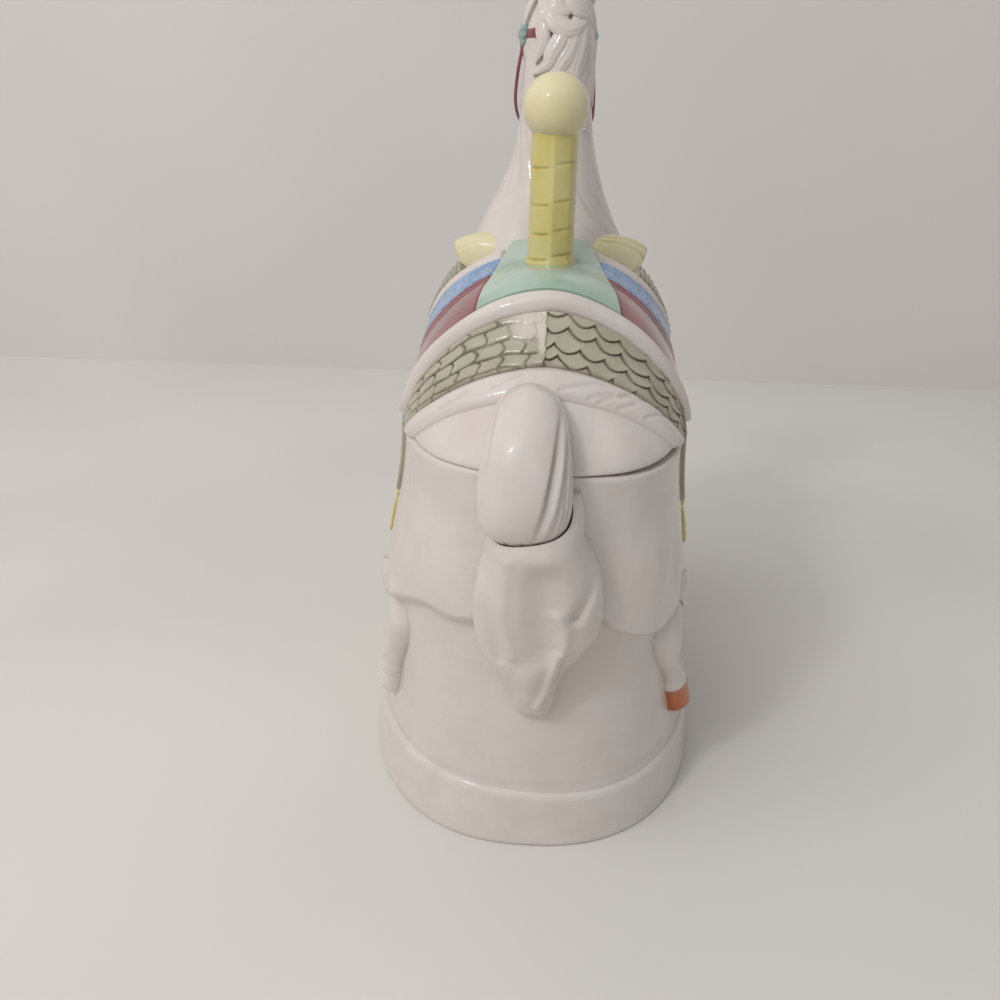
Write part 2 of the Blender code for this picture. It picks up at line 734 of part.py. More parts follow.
def make_lid_shell(parts, cuts):
    """The horse's back as a hollow dome, with a flange that sits inside the jar's mouth."""
    bottom = SEAM_HEIGHT + JOINT_GAP
    flange_bottom = SEAM_HEIGHT - FLANGE_DEPTH
    flange_inset = WALL_THICKNESS + FLANGE_CLEARANCE
    inside_inset = flange_inset + FLANGE_THICKNESS
    builder = bmesh.new()
    skin(builder, lid_rows(), closed=False)
    skin(builder, [
        lid_edge(0.0, bottom),
        lid_edge(flange_inset, bottom),
        lid_edge(flange_inset, flange_bottom),
        lid_edge(inside_inset, flange_bottom),
        lid_edge(inside_inset, bottom + LID_THICKNESS),
    ], closed=True)
    across = (RIM_HALF_WIDTH - inside_inset) / RIM_HALF_WIDTH
    lengthwise = (RIM_HALF_LENGTH - inside_inset) / RIM_HALF_LENGTH
    climbs = spread(0.0, math.pi, SECTION_SEGMENTS)
    inside = []
    for row in lid_rows():
        rises = [max((point.z - bottom) * lengthwise - LID_THICKNESS * math.sin(climb), 0.0)
                 for point, climb in zip(row, climbs)]
        inside.append([
            Vector((across * point.x, lengthwise * point.y, bottom + LID_THICKNESS + rise))
            for point, rise in zip(row, rises)
        ])
    skin(builder, inside, closed=False)
    shell = finish("lid_shell", builder, parts, glaze("white_glaze"))
    boolean(shell, cuts["neck_bore"])


def make_lid_cutter(cutters):
    """The lid's outside as a plain solid, a joint's gap larger, to cut what stands on it."""
    rows = lid_rows(JOINT_GAP)
    floor = SEAM_HEIGHT - FLANGE_DEPTH
    right = [row[0] for row in rows]
    left = [row[-1] for row in rows]
    low_right = [Vector((point.x, point.y, floor)) for point in right]
    low_left = [Vector((point.x, point.y, floor)) for point in left]
    builder = bmesh.new()
    skin(builder, rows, closed=False)
    skin(builder, [right, low_right, low_left, left], closed=False)
    return as_cutter(finish("lid_cutter", builder, cutters, None))


def band(name, edges, leans, reach, lift, parts, material, cut):
    """A raised band on the lid, between a rear and a front edge that may lean forward.

    reach(share) gives its first and last climb, and lift(share, climb) its height, where share
    goes from the rear edge (0) to the front edge (1). It starts inside the back, which is cut away.
    """
    shares = spread(0.0, 1.0, BAND_ROW_COUNT)
    first, last = reach(0.0)
    count = round((last - first) / math.pi * SECTION_SEGMENTS)
    outer, inner = [], []
    for share in shares:
        above, below = [], []
        for climb in spread(*reach(share), count):
            slack = 1 - math.sin(climb)
            rear = edges[0] + leans[0] * slack + JOINT_GAP / 2
            front = edges[1] + leans[1] * slack - JOINT_GAP / 2
            y = rear + (front - rear) * share
            above.append(lid_point(y, climb, lift(share, climb)))
            below.append(lid_point(y, climb, -BAND_ROOT))
        outer.append(above)
        inner.append(below)
    strip = panel(name, outer, inner, parts, glaze(material))
    boolean(strip, cut)
    return strip


def over_the_back(_share):
    """A band that runs from seam to seam."""
    return 0.0, math.pi


def level(lift):
    """A band of even height."""
    return lambda share, climb: lift


def rounded(edge, crown):
    """A band that swells from its edges to its middle."""
    return lambda share, climb: edge + (crown - edge) * math.sin(math.pi * share)


def seat_edge(y):
    """Climb at the seat's edge, which draws in towards the withers."""
    share = (y - CANTLE_FRONT) / (SEAT_FRONT - CANTLE_FRONT)
    return SEAT_REAR_CLIMB + (SEAT_FRONT_CLIMB - SEAT_REAR_CLIMB) * share


def on_side(side, first, last):
    """A stretch of climb on the right side (1), or the same on the left (-1)."""
    return (first, last) if side > 0 else (math.pi - last, math.pi - first)


def roll_lift(share, climb):
    """The shoulder roll's height: a swell along the horse, with ridges across it."""
    from_seam = min(climb, math.pi - climb)
    up = (from_seam - ROLL_LOW_CLIMB) / (ROLL_TOP_CLIMB - ROLL_LOW_CLIMB)
    ridge = 1 - ROLL_RIDGE_DEPTH + ROLL_RIDGE_DEPTH * abs(math.sin(math.pi * ROLL_RIDGE_COUNT * up))
    return ROLL_EDGE_LIFT + ROLL_LIFT * math.sin(math.pi * share) * ridge


def make_blanket(parts, cuts):
    """The blanket's white hem and scaled field, and the saddle's raised rear rim."""
    none = (0.0, 0.0)
    band("blanket_hem", (HEM_REAR, HEM_FRONT), none, over_the_back,
         rounded(HEM_EDGE_LIFT, HEM_LIFT), parts, "white_glaze", cuts["lid"])
    band("scale_blanket", (HEM_FRONT, SCALES_FRONT), none, over_the_back,
         level(SCALES_LIFT), parts, "scale_glaze", cuts["lid"])
    band("cantle_rim", (SCALES_FRONT, CANTLE_FRONT), none, over_the_back,
         rounded(SCALES_LIFT, CANTLE_LIFT), parts, "white_glaze", cuts["lid"])


def make_seat(parts, cuts):
    """The saddle's seat, from the raised rim to the withers, with the pole through it."""
    def reach(share):
        edge = seat_edge(CANTLE_FRONT + SEAT_LENGTH * share)
        return edge, math.pi - edge

    seat = band("saddle_seat", (CANTLE_FRONT, SEAT_FRONT), (0.0, 0.0), reach,
                level(SEAT_LIFT), parts, "mint_glaze", cuts["lid"])
    boolean(seat, cuts["pole"])
    boolean(seat, cuts["neck"])


def make_flank(prefix, side, parts, cuts):
    """One side of the trappings: skirt, blanket band, piping, fringe and shoulder roll."""
    strips = (
        ("saddle_skirt", CANTLE_FRONT, SKIRT_FRONT, 0.0, SKIRT_EXTRA_LEAN, SKIRT_LIFT, "rose_glaze"),
        ("blanket_band", SKIRT_FRONT, BLUE_FRONT, SKIRT_EXTRA_LEAN, BLUE_EXTRA_LEAN, BLUE_LIFT,
         "blue_glaze"),
        ("blanket_piping", BLUE_FRONT, PIPING_FRONT, BLUE_EXTRA_LEAN, PIPING_EXTRA_LEAN,
         PIPING_LIFT, "white_glaze"),
    )
    for name, rear, front, rear_lean, front_lean, lift, material in strips:
        def reach(share, rear=rear, front=front, rear_lean=rear_lean, front_lean=front_lean):
            y = rear + (front - rear) * share
            lean = rear_lean + (front_lean - rear_lean) * share
            edge = seat_edge(y + lean * (1 - math.sin(seat_edge(y))))
            return on_side(side, FLANK_LOW_CLIMB, edge - SEAT_SIDE_GAP)

        strip = band(f"{prefix}_{name}", (rear, front), (rear_lean, front_lean), reach,
                     level(lift), parts, material, cuts["lid"])
        boolean(strip, cuts["neck"])
    roll_edges = (ROLL_REAR, ROLL_FRONT)
    roll = band(f"{prefix}_shoulder_roll", roll_edges, (PIPING_EXTRA_LEAN, 0.0),
                lambda share: on_side(side, ROLL_LOW_CLIMB, ROLL_TOP_CLIMB), roll_lift, parts,
                "cream_glaze", cuts["lid"])
    fringe = band(f"{prefix}_blanket_fringe", (PIPING_FRONT, FRINGE_FRONT),
                  (PIPING_EXTRA_LEAN, FRINGE_EXTRA_LEAN),
                  lambda share: on_side(side, FLANK_LOW_CLIMB, ROLL_LOW_CLIMB - SEAT_SIDE_GAP),
                  level(FRINGE_LIFT), parts, "scale_glaze", cuts["lid"])
    boolean(roll, cuts["neck"])
    boolean(fringe, cuts["neck"])


def neck_point(turn, rise, lift=0.0):
    """A point of the neck's outside at a rise over the seam, in the direction turn from the rear."""
    middle, half_width, half_depth = (
        along([(ring[0], ring[column]) for ring in NECK_RINGS], rise) for column in (1, 2, 3)
    )
    point = oval_point(turn, half_width + lift, half_depth + lift, NECK_SQUARENESS, SEAM_HEIGHT + rise)
    return point + Vector((0, middle, 0))


def neck_rises():
    """Levels of the neck's rings over the seam."""
    return spread(NECK_RINGS[0][0], NECK_RINGS[-1][0], NECK_RING_COUNT)


def neck_rings(lift=0.0):
    """Level rings of the neck, from inside the lid up to the poll."""
    return [[neck_point(turn, rise, lift) for turn in turns(NECK_SEGMENTS)] for rise in neck_rises()]


def bore_rings():
    """The neck's hollow: its rings a wall's thickness in, open down into the lid."""
    rises = [JOINT_GAP] + [rise for rise in neck_rises() if rise < BORE_TOP]
    rings = []
    for rise in rises:
        ring = [neck_point(turn, max(rise, BORE_WIDEST), -NECK_WALL) for turn in turns(NECK_SEGMENTS)]
        rings.append([Vector((point.x, point.y, SEAM_HEIGHT + rise)) for point in ring])
    return rings


def head_rings(lift=0.0):
    """Rings square to the face, which runs straight from the poll down to the muzzle."""
    onward = Vector((0, math.cos(HEAD_PITCH), -math.sin(HEAD_PITCH)))
    upward = Vector((0, math.sin(HEAD_PITCH), math.cos(HEAD_PITCH)))
    poll = Vector((0, POLL_Y, SEAM_HEIGHT + POLL_RISE))
    rings = []
    for distance, half_width, half_depth in HEAD_RINGS:
        middle = poll + onward * distance - upward * half_depth
        ring = []
        for turn in turns(HEAD_SEGMENTS):
            flat = oval_point(turn, half_width + lift, half_depth + lift, HEAD_SQUARENESS, 0.0)
            ring.append(middle + upward * flat.y + Vector((flat.x, 0, 0)))
        rings.append(ring)
    return rings


def make_neck_and_head(parts, cuts):
    """The arched neck and tucked head: two lofts joined, hollow where the neck meets the lid."""
    neck = loft("neck_and_head", neck_rings(), parts, glaze("white_glaze"))
    boolean(neck, cuts["head_core"], "UNION")
    boolean(neck, cuts["lid"])
    boolean(neck, cuts["neck_bore"])


def make_mane(parts, cuts):
    """Wavy locks over the crest and down the neck's right side, a shell that hugs the neck."""
    rises = [rise for rise in neck_rises() if MANE_FOOT <= rise <= MANE_TOP]
    around = [2 * math.pi * i / NECK_SEGMENTS for i in range(MANE_FIRST_SEGMENT, MANE_LAST_SEGMENT + 1)]

    def lift(turn, rise):
        wave = math.sin(2 * math.pi * rise / MANE_LOCK + 2 * turn)
        edge = ease(2 * (around[-1] - turn)) * ease(3 * (turn - around[0]))
        return MANE_EDGE_LIFT + (MANE_LIFT + MANE_WAVE * wave) * edge

    outer = [[neck_point(turn, rise, lift(turn, rise)) for turn in around] for rise in rises]
    inner = [[neck_point(turn, rise, JOINT_GAP) for turn in around] for rise in rises]
    mane = panel("mane", outer, inner, parts, glaze("white_glaze"))
    for cut in ("head", "lid", "right_rosette", "left_rosette"):
        boolean(mane, cuts[cut])


def add_rosette(name, side, radius, collection, material=None):
    """A round boss on the bridle's side."""
    bpy.ops.mesh.primitive_uv_sphere_add(
        segments=ROSETTE_SEGMENTS, ring_count=ROSETTE_RING_COUNT, radius=radius,
        location=(side * ROSETTE_X, ROSETTE_Y, SEAM_HEIGHT + ROSETTE_RISE))
    return adopt(name, collection, material)


def make_ears_and_rosettes(parts, cuts):
    """Upright ears at the poll, and a round rosette on each side of the bridle."""
    for side, prefix in ((1, "right"), (-1, "left")):
        bpy.ops.mesh.primitive_cone_add(
            vertices=EAR_SEGMENTS, radius1=EAR_RADIUS, radius2=EAR_TIP_RADIUS, depth=EAR_LENGTH,
            rotation=(EAR_BACKWARD, side * EAR_OUTWARD, 0.0),
            location=(side * EAR_SPREAD, EAR_Y, SEAM_HEIGHT + EAR_TIP_RISE - EAR_LENGTH / 2))
        ear = adopt(f"{prefix}_ear", parts, glaze("white_glaze"))
        rosette = add_rosette(f"{prefix}_rosette", side, ROSETTE_RADIUS, parts, glaze("teal_glaze"))
        for thing in (ear, rosette):
            boolean(thing, cuts["neck"])
            boolean(thing, cuts["head"])


def add_pole(name, radius, collection, material=None):
    """The pole's cylinder, from inside the back up into the ball."""
    bpy.ops.mesh.primitive_cylinder_add(
        vertices=POLE_SEGMENTS, radius=radius, depth=BALL_RISE - LID_THICKNESS,
        location=(0.0, POLE_Y, SEAM_HEIGHT + (BALL_RISE + LID_THICKNESS) / 2))
    return adopt(name, collection, material)


def add_ball(name, radius, collection, material=None):
    """The ball on the pole's top."""
    bpy.ops.mesh.primitive_uv_sphere_add(
        segments=POLE_SEGMENTS, ring_count=BALL_RING_COUNT, radius=radius,
        location=(0.0, POLE_Y, SEAM_HEIGHT + BALL_RISE))
    return adopt(name, collection, material)


def make_pole(parts, cutters, cuts):
    """The yellow saddle pole with its tilted grooves, seated in the back, and the ball on top."""
    pole = add_pole("saddle_pole", POLE_RADIUS, parts, glaze("yellow_glaze"))
    for i in range(POLE_GROOVE_COUNT):
        rise = BALL_RISE - BALL_RADIUS - GROOVE_PITCH * (i + 0.5)
        bpy.ops.mesh.primitive_torus_add(
            major_radius=POLE_RADIUS + GROOVE_RADIUS / 3, minor_radius=GROOVE_RADIUS,
            major_segments=POLE_SEGMENTS, minor_segments=4, rotation=(0.0, GROOVE_TILT, 0.0),
            location=(0.0, POLE_Y, SEAM_HEIGHT + rise))
        boolean(pole, as_cutter(adopt(f"groove_cutter_{i}", cutters)))
    boolean(pole, cuts["lid"])
    boolean(pole, cuts["ball"])
    add_ball("pole_ball", BALL_RADIUS, parts, glaze("cream_glaze"))


def upper_tail_points():
    """The lid's tail as a path in the object's own axes."""
    return [
        (-left, -RIM_HALF_LENGTH - behind, SEAM_HEIGHT + rise, half_width, half_thickness)
        for left, behind, rise, half_width, half_thickness in UPPER_TAIL
    ]


def make_upper_tail(parts, cuts):
    """The thick lock of tail that lies on the rump and hangs down over the seam."""
    rings = path_rings(upper_tail_points(), TAIL_SEGMENTS)
    tail = loft("upper_tail", rings, parts, glaze("white_glaze"))
    for cut in ("lid", "hem", "jar_clear"):
        boolean(tail, cuts[cut])


def make_hem_cutter(cutters):
    """The blanket's rear as a plain solid, a joint's gap larger, to cut the tail's root."""
    places = (HEM_REAR - JOINT_GAP, HEM_FRONT, SCALES_FRONT)
    climbs = spread(0.0, math.pi, SECTION_SEGMENTS)
    outer = [[lid_point(y, climb, HEM_LIFT + 2 * JOINT_GAP) for climb in climbs] for y in places]
    inner = [[lid_point(y, climb, -JOINT_GAP) for climb in climbs] for y in places]
    return as_cutter(panel("hem_cutter", outer, inner, cutters))


def make_cuts(cutters):
    """The cutters: each neighbour's outside, a joint's gap larger."""
    tail_rings = path_rings(upper_tail_points(), TAIL_SEGMENTS, TAIL_CLEARANCE)
    return {
        "jar": make_jar_cutter("jar_cutter", cutters, JOINT_GAP),
        "jar_clear": make_jar_cutter("jar_clearance", cutters, TAIL_CLEARANCE),
        "lid": make_lid_cutter(cutters),
        "hem": make_hem_cutter(cutters),
        "neck": as_cutter(loft("neck_cutter", neck_rings(JOINT_GAP), cutters)),
        "neck_bore": as_cutter(loft("neck_bore", bore_rings(), cutters)),
        "head": as_cutter(loft("head_cutter", head_rings(JOINT_GAP), cutters)),
        "head_core": as_cutter(loft("head_core", head_rings(), cutters)),
        "tail_end": as_cutter(loft("tail_cutter", tail_rings, cutters)),
        "pole": as_cutter(add_pole("pole_cutter", POLE_RADIUS + JOINT_GAP, cutters)),
        "ball": as_cutter(add_ball("ball_cutter", BALL_RADIUS + JOINT_GAP, cutters)),
        "right_rosette": as_cutter(
            add_rosette("right_rosette_cutter", 1, ROSETTE_RADIUS + JOINT_GAP, cutters)),
        "left_rosette": as_cutter(
            add_rosette("left_rosette_cutter", -1, ROSETTE_RADIUS + JOINT_GAP, cutters)),
    }


def make_jar(parts, cuts):
    """Everything that is fired into the jar."""
    make_jar_body(parts)
    make_lower_tail(parts, cuts)
    make_legs(parts, cuts)
    make_flap("right", 1, parts, cuts)
    make_flap("left", -1, parts, cuts)


def make_lid(parts, cutters, cuts):
    """Everything that is fired into the lid, on an empty that slides along the lid's lift axis."""
    jar_pieces = set(parts.objects)
    make_lid_shell(parts, cuts)
    make_blanket(parts, cuts)
    make_seat(parts, cuts)
    make_flank("right", 1, parts, cuts)
    make_flank("left", -1, parts, cuts)
    make_neck_and_head(parts, cuts)
    make_mane(parts, cuts)
    make_ears_and_rosettes(parts, cuts)
    make_pole(parts, cutters, cuts)
    make_upper_tail(parts, cuts)
    lid_pieces = set(parts.objects) - jar_pieces
    lift_axis = bpy.data.objects.new("lid_lift_axis", None)
    lift_axis.location = (0.0, 0.0, SEAM_HEIGHT)
    parts.objects.link(lift_axis)
    bpy.context.view_layer.update()
    for thing in lid_pieces:
        thing.parent = lift_axis
        thing.matrix_parent_inverse = lift_axis.matrix_world.inverted()


def main():
    """Builds the whole jar."""
    clear_scene()
    parts = make_collection("cookie_jar")
    cutters = make_collection("cutters")
    cuts = make_cuts(cutters)
    make_jar(parts, cuts)
    make_lid(parts, cutters, cuts)


main()
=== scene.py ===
# %% [markdown]
# # A carousel horse cookie jar in glazed ceramic
# The real thing is two castings. The jar is the horse's lower half on an oval plinth, and the
# lid is its back, neck and head, with a saddle pole for a knob. Both were cast in a mould,
# brushed with underglaze colours, dipped in a clear glaze and fired.
#
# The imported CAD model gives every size. Here each casting gets the finer forms that a mould
# gives (hair, scales, folds) and a finish. The horse faces +Y, and up is +Z.

# %% The frame and its box
import math

import bmesh
import bpy
import numpy as np
from mathutils import Matrix, Vector


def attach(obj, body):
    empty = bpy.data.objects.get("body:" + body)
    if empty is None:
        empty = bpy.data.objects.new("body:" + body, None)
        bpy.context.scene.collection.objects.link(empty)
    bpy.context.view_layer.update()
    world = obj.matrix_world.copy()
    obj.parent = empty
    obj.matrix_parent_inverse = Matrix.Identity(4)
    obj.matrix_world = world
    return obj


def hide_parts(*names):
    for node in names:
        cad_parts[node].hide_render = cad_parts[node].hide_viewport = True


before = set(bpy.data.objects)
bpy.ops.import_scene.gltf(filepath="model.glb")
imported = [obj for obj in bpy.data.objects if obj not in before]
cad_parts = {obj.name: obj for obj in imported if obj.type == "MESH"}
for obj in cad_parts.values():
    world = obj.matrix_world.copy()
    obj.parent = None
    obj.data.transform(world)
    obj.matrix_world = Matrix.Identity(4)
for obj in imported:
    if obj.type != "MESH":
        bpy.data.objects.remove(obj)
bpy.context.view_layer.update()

# %% [markdown]
# ## The camera
# The photograph was taken from behind the horse and above it, from about half a metre, with a
# wide lens. A camera that looks along +Y is turned a little left, tipped down and rolled.
# Writing its three axes as a matrix keeps the roll exact.

# %% Camera at the photograph's angle
CAMERA_PLACE = (-0.0005, -0.4459, 0.3227)
YAW, PITCH, ROLL = np.radians([-2.5, 25.0, 1.2])

ahead = math.cos(PITCH)
onward = np.array([math.sin(YAW) * ahead, math.cos(YAW) * ahead, -math.sin(PITCH)])
level = np.array([math.cos(YAW), -math.sin(YAW), 0.0])
down = np.cross(onward, level)
right = level * math.cos(ROLL) - down * math.sin(ROLL)
below = level * math.sin(ROLL) + down * math.cos(ROLL)

camera = bpy.data.objects.new("camera", bpy.data.cameras.new("camera"))
camera.data.lens = camera.data.sensor_width = 36
pose = np.eye(4)
pose[:3, 0], pose[:3, 1], pose[:3, 2], pose[:3, 3] = right, -below, -onward, CAMERA_PLACE
camera.matrix_world = Matrix(pose)
bpy.context.scene.collection.objects.link(camera)
bpy.context.scene.camera = camera
print("camera to the horse's middle, mm:", round(1000 * float(np.linalg.norm(CAMERA_PLACE))))

# %% [markdown]
# ## Sizes that both castings share
# The horse is a jar first, so its forms follow a few curves: the oval of the plinth, the flare of
# the wall, the line of the back. The numbers are the CAD's, in millimetres, with a hand-made
# piece's unevenness added where the photograph shows it.

# %% Sizes in millimetres
MM = 0.001
PLINTH_HALF = (80, 112)
PLINTH_HEIGHT, PLINTH_TAPER, LEDGE = 29, 2.5, 2
SEAM, GAP = 173.4, 0.3
RIM_HALF = (60, 104.6)
RIM_SQUARENESS, PLINTH_SQUARENESS = 2.9, 2.35
WALL, LIP = 5, 1.4
SIDE_RELIEF, END_RELIEF = 2.5, 5.5
BELLY = ((-1, 72), (-.62, 71), (-.29, 61), (.05, 70), (.43, 81), (.76, 77), (1, 63))
BACK = ((-1, 0), (-.95, 9), (-.86, 17.5), (-.755, 26), (-.63, 38), (-.51, 51.5), (-.33, 58),
        (-.1, 58.5), (.19, 61.5), (.48, 64), (.76, 50), (.93, 23), (1, 0))
TOP_POWER = ((-1, 2.2), (-.76, 1.6), (-.44, 1.85), (-.1, 2.1), (.33, 2.2), (1, 2.1))
FLANK_POWER = ((-1, 2.2), (-.76, 1.36), (-.44, 1.45), (-.1, 1.5), (.33, 2.0), (1, 2.1))
BAND_LEAN, LEAN_RUN_IN = 13, 24
HEM_REAR, HEM_FRONT, SCALES_FRONT, CANTLE_FRONT = -83.6, -72.1, -55.6, -47.1
SKIRT_FRONT, BLUE_FRONT, PIPING_FRONT, FRINGE_FRONT = -12.1, 4.9, 21.9, 33.9
SEAT_FRONT = 24.9
POLE_Y, POLE_RADIUS, BALL_RADIUS, BALL_RISE = -8, 9.8, 13.7, 122.6
# rise over the seam, middle along the horse, half width, half depth
NECK = ((12, 57, 46, 45.5), (44, 55, 42, 43), (66, 57, 31, 34), (84, 59, 23.5, 26.5),
        (107, 60, 18, 20.5), (130, 61, 16, 17.5), (150, 62, 14.5, 15), (164, 63.5, 11, 11),
        (171, 64, 6, 6))
# distance down the face, half width, half depth
HEAD = ((0, 5.5, 6), (4, 10.5, 12), (12, 14.5, 17), (24, 16.8, 18.5), (36, 14, 15.5),
        (48, 10.8, 11.8), (59, 9.5, 10), (69, 9.8, 10.2), (76, 7.8, 8.4), (80, 3.5, 4.5))
POLL = np.array([0, 64, SEAM + 173.6])
HEAD_PITCH = np.radians(48)
# middle across, along and up, half width, half thickness
UPPER_TAIL = np.array([
    (-5.5, -79, 189.9, 8, 6), (-5.5, -85, 193.4, 11.5, 10), (-5.5, -96, 192.4, 14, 11.5),
    (-5.8, -106.5, 185.4, 16.2, 12.5), (-6, -113, 174, 17.6, 12.8), (-6, -115, 163, 17.2, 12),
    (-5.8, -114.5, 156, 14.5, 9.5), (-5.6, -114, 153, 8.5, 5.5)])
# depth below the seam, middle, half width, stand-out
LOWER_TAIL = ((5.4, 9, 6, 5), (13.4, 2, 15, 15), (22.4, -1, 18.5, 21.5), (30.4, 0, 21.5, 20.5),
              (40.4, .5, 24.5, 18), (54.4, .5, 26, 15.5), (66.4, 0, 24.5, 14.5),
              (75.4, -1.5, 20.5, 13.5), (84.4, -2, 15, 12), (93.4, -1, 11, 9.5),
              (101.4, -.5, 9, 7), (105.4, 0, 7, 5))
# place along the horse, depth below the seam, radius, stand-out
HIND_LEG = ((-58, 56.4, 8, 1), (-61, 62.4, 12, 1.5), (-66, 71.4, 13, 2.5), (-73, 82.4, 9.4, 5),
            (-73, 90.4, 7.4, 5.5), (-68, 100.4, 6.2, 6), (-64, 108.4, 6.4, 6.8),
            (-62, 113.4, 7, 7.5))
FORE_LEG = ((52, 57.4, 8, 2), (58, 62.4, 12, 4), (72, 75.4, 11, 6), (83, 86.4, 8.8, 7.5),
            (86, 94.4, 8, 8), (78, 103.4, 6.2, 7.5), (67, 110.4, 5.8, 7.2), (61, 113.4, 6.8, 8))
print("seam at", SEAM, "mm, ball's middle at", SEAM + BALL_RISE, "mm")

# %% [markdown]
# ## Curves and surfaces
# A modeller's curve passes smoothly through a few measured points. A cubic Hermite curve does
# that, with each slope taken from the two neighbours. The wall and the back are then functions of
# two numbers each, so a whole casting is one numpy grid and no point is placed by hand.

# %% Curves, the wall and the back
def eased(value):
    """0 to 1 with level ends: t * t * (3 - 2 t)."""
    held = np.clip(value, 0, 1)
    return held * held * (3 - 2 * held)


def bump(distance):
    """1 at no distance and 0 from distance 1 on, smooth at both."""
    return eased(1 - np.abs(distance))


def pillow(distance, radius):
    """Quarter-round edge: sqrt(1 - (1 - d / r)^2)."""
    return np.sqrt(1 - (1 - np.clip(distance / radius, 0, 1)) ** 2)


def full_turn(count):
    """The angles of count points round a ring."""
    return np.linspace(0, 2 * np.pi, count, endpoint=False)[None, :]


def curve(points, place):
    """Cubic Hermite through (place, value) points, held at its ends."""
    x, value = np.array(points, float)[:, :2].T
    place = np.clip(place, x[0], x[-1])
    i = np.clip(np.searchsorted(x, place, side="right") - 1, 0, len(x) - 2)
    before = np.maximum(np.arange(len(x)) - 1, 0)
    after = np.minimum(np.arange(len(x)) + 1, len(x) - 1)
    slope = (value[after] - value[before]) / (x[after] - x[before])
    span = x[i + 1] - x[i]
    t = (place - x[i]) / span
    leave = t * (1 - t) ** 2 * span * slope[i]
    arrive = t * t * (t - 1) * span * slope[i + 1]
    return value[i] + (value[i + 1] - value[i]) * eased(t) + leave + arrive


def column(points, number):
    """The (place, value) points of one column of a table."""
    return [(row[0], row[number]) for row in points]


def oval(turn, half_width, half_length, squareness):
    """Superellipse |x / a|^n + |y / b|^n = 1 in the direction turn from the rear (-Y)."""
    across = np.abs(np.sin(turn)) / half_width
    lengthwise = np.abs(np.cos(turn)) / half_length
    radius = (across ** squareness + lengthwise ** squareness) ** (-1 / squareness)
    return radius * np.sin(turn), -radius * np.cos(turn)


def through(values, place):
    """The smooth line through values that stand at the places 0, 1, 2 and so on."""
    return curve(list(enumerate(values)), place)


def stack(x, y, z):
    """Three coordinates as one array of points."""
    return np.stack(np.broadcast_arrays(x, y, z), axis=-1).astype(float)


def wall_sizes(height):
    """Plain wall: half sizes grow as fall^1.8 from rim to foot, and the oval gets rounder."""
    fall = np.maximum((SEAM - height) / (SEAM - PLINTH_HEIGHT), 0)
    foot = [half - PLINTH_TAPER - LEDGE for half in PLINTH_HALF]
    top = RIM_HALF[0] - SIDE_RELIEF, RIM_HALF[1] - END_RELIEF
    sizes = [high + (low - high) * fall ** 1.8 for low, high in zip(foot, top)]
    return *sizes, RIM_SQUARENESS - (RIM_SQUARENESS - PLINTH_SQUARENESS) * fall ** 1.6


# Lower edge of the rump seen from behind: degrees from the rear, height
RUMP_EDGE = ((-52, 99), (-40, 101), (-28, 108), (-19, 106), (-14, 107), (13, 112), (17, 105),
             (29, 97), (40, 99), (52, 104))
# Forms on the jar's rear: degrees from the rear, height, half width, half height, stand-out
SWELLS = ((-31, 136, 7, 46, 1.3), (-20, 128, 14, 26, 1.0), (38, 117, 5, 26, -1.5),
          (15, 136, 6, 40, -1.4), (-39, 104, 5, 9, 1.6), (38, 106, 5, 11, 1.4))
# The same of the ridge down the right haunch
RIDGE = (28, 124, 9.5, 38, 3.4)
# Haunches: place along, depth below the seam, half length, half height, stand-out left and right
HAUNCH = (-58, 68, 50, 66, 6.5, 3.0)


def body_relief(turn, y, height):
    """How far the horse stands out: end and side relief above the belly, haunches and swells."""
    degrees = np.degrees(np.arctan2(np.sin(turn), np.cos(turn)))
    rear = eased((56 - np.abs(degrees)) / 16)
    side_edge = SEAM - curve(BELLY, y / RIM_HALF[1])
    edge = side_edge + (curve(RUMP_EDGE, degrees) - side_edge) * rear
    softness = 9 - 3.5 * rear * eased(degrees / 12)
    relief = SIDE_RELIEF + (END_RELIEF - SIDE_RELIEF) * np.cos(turn) ** 2
    along, depth, half_length, half_height, left, right = HAUNCH
    away = np.hypot((y - along) / half_length, (height - SEAM + depth) / half_height)
    haunch = np.where(degrees > 0, right, left) * eased(1 - away)
    swells = sum(out * bump((degrees - middle) / wide) * bump((height - level) / tall)
                 for middle, level, wide, tall, out in SWELLS)
    middle, level, wide, tall, out = RIDGE
    roof = np.maximum(1 - np.hypot((degrees - middle) / wide, 0.12), 0)
    ridge = out * roof * bump((height - level) / tall)
    return relief * eased((height - edge) / softness + 0.5) + haunch + swells + ridge


def wall(turn, height, lift=0.0):
    """The jar's outside: the plain oval, grown by the horse's relief and by lift."""
    half_width, half_length, squareness = wall_sizes(height)
    y = oval(turn, half_width, half_length, squareness)[1]
    out = body_relief(turn, y, height) + lift
    x, y = oval(turn, half_width + out, half_length + out, squareness)
    return stack(x, y, height)


def halved(low, high, short):
    """The angle from low to high up to which short(angle) holds, by halving the span."""
    for _ in range(22):
        middle = (low + high) / 2
        held = short(middle)
        low, high = np.where(held, middle, low), np.where(held, high, middle)
    return low


def wall_side(y, height, side, lift=0.0):
    """The wall's point at a place along the horse."""
    start = np.zeros(np.shape(y + height))
    turn = halved(start, start + np.pi, lambda angle: wall(side * angle, height)[..., 1] < y)
    return wall(side * turn, height, lift)


def rear_y(x, height):
    """How far back the wall's rear is at a place across."""
    end = np.full(np.shape(x), 1.2)
    turn = halved(-end, end, lambda angle: wall(angle, height)[..., 0] < x)
    return wall(turn, height)[..., 1]


def leaned(y, climb):
    """Sections lean: each lies further forward at the seam than over the back."""
    return y + BAND_LEAN * eased((RIM_HALF[1] - np.abs(y)) / LEAN_RUN_IN) * (1 - np.sin(climb))


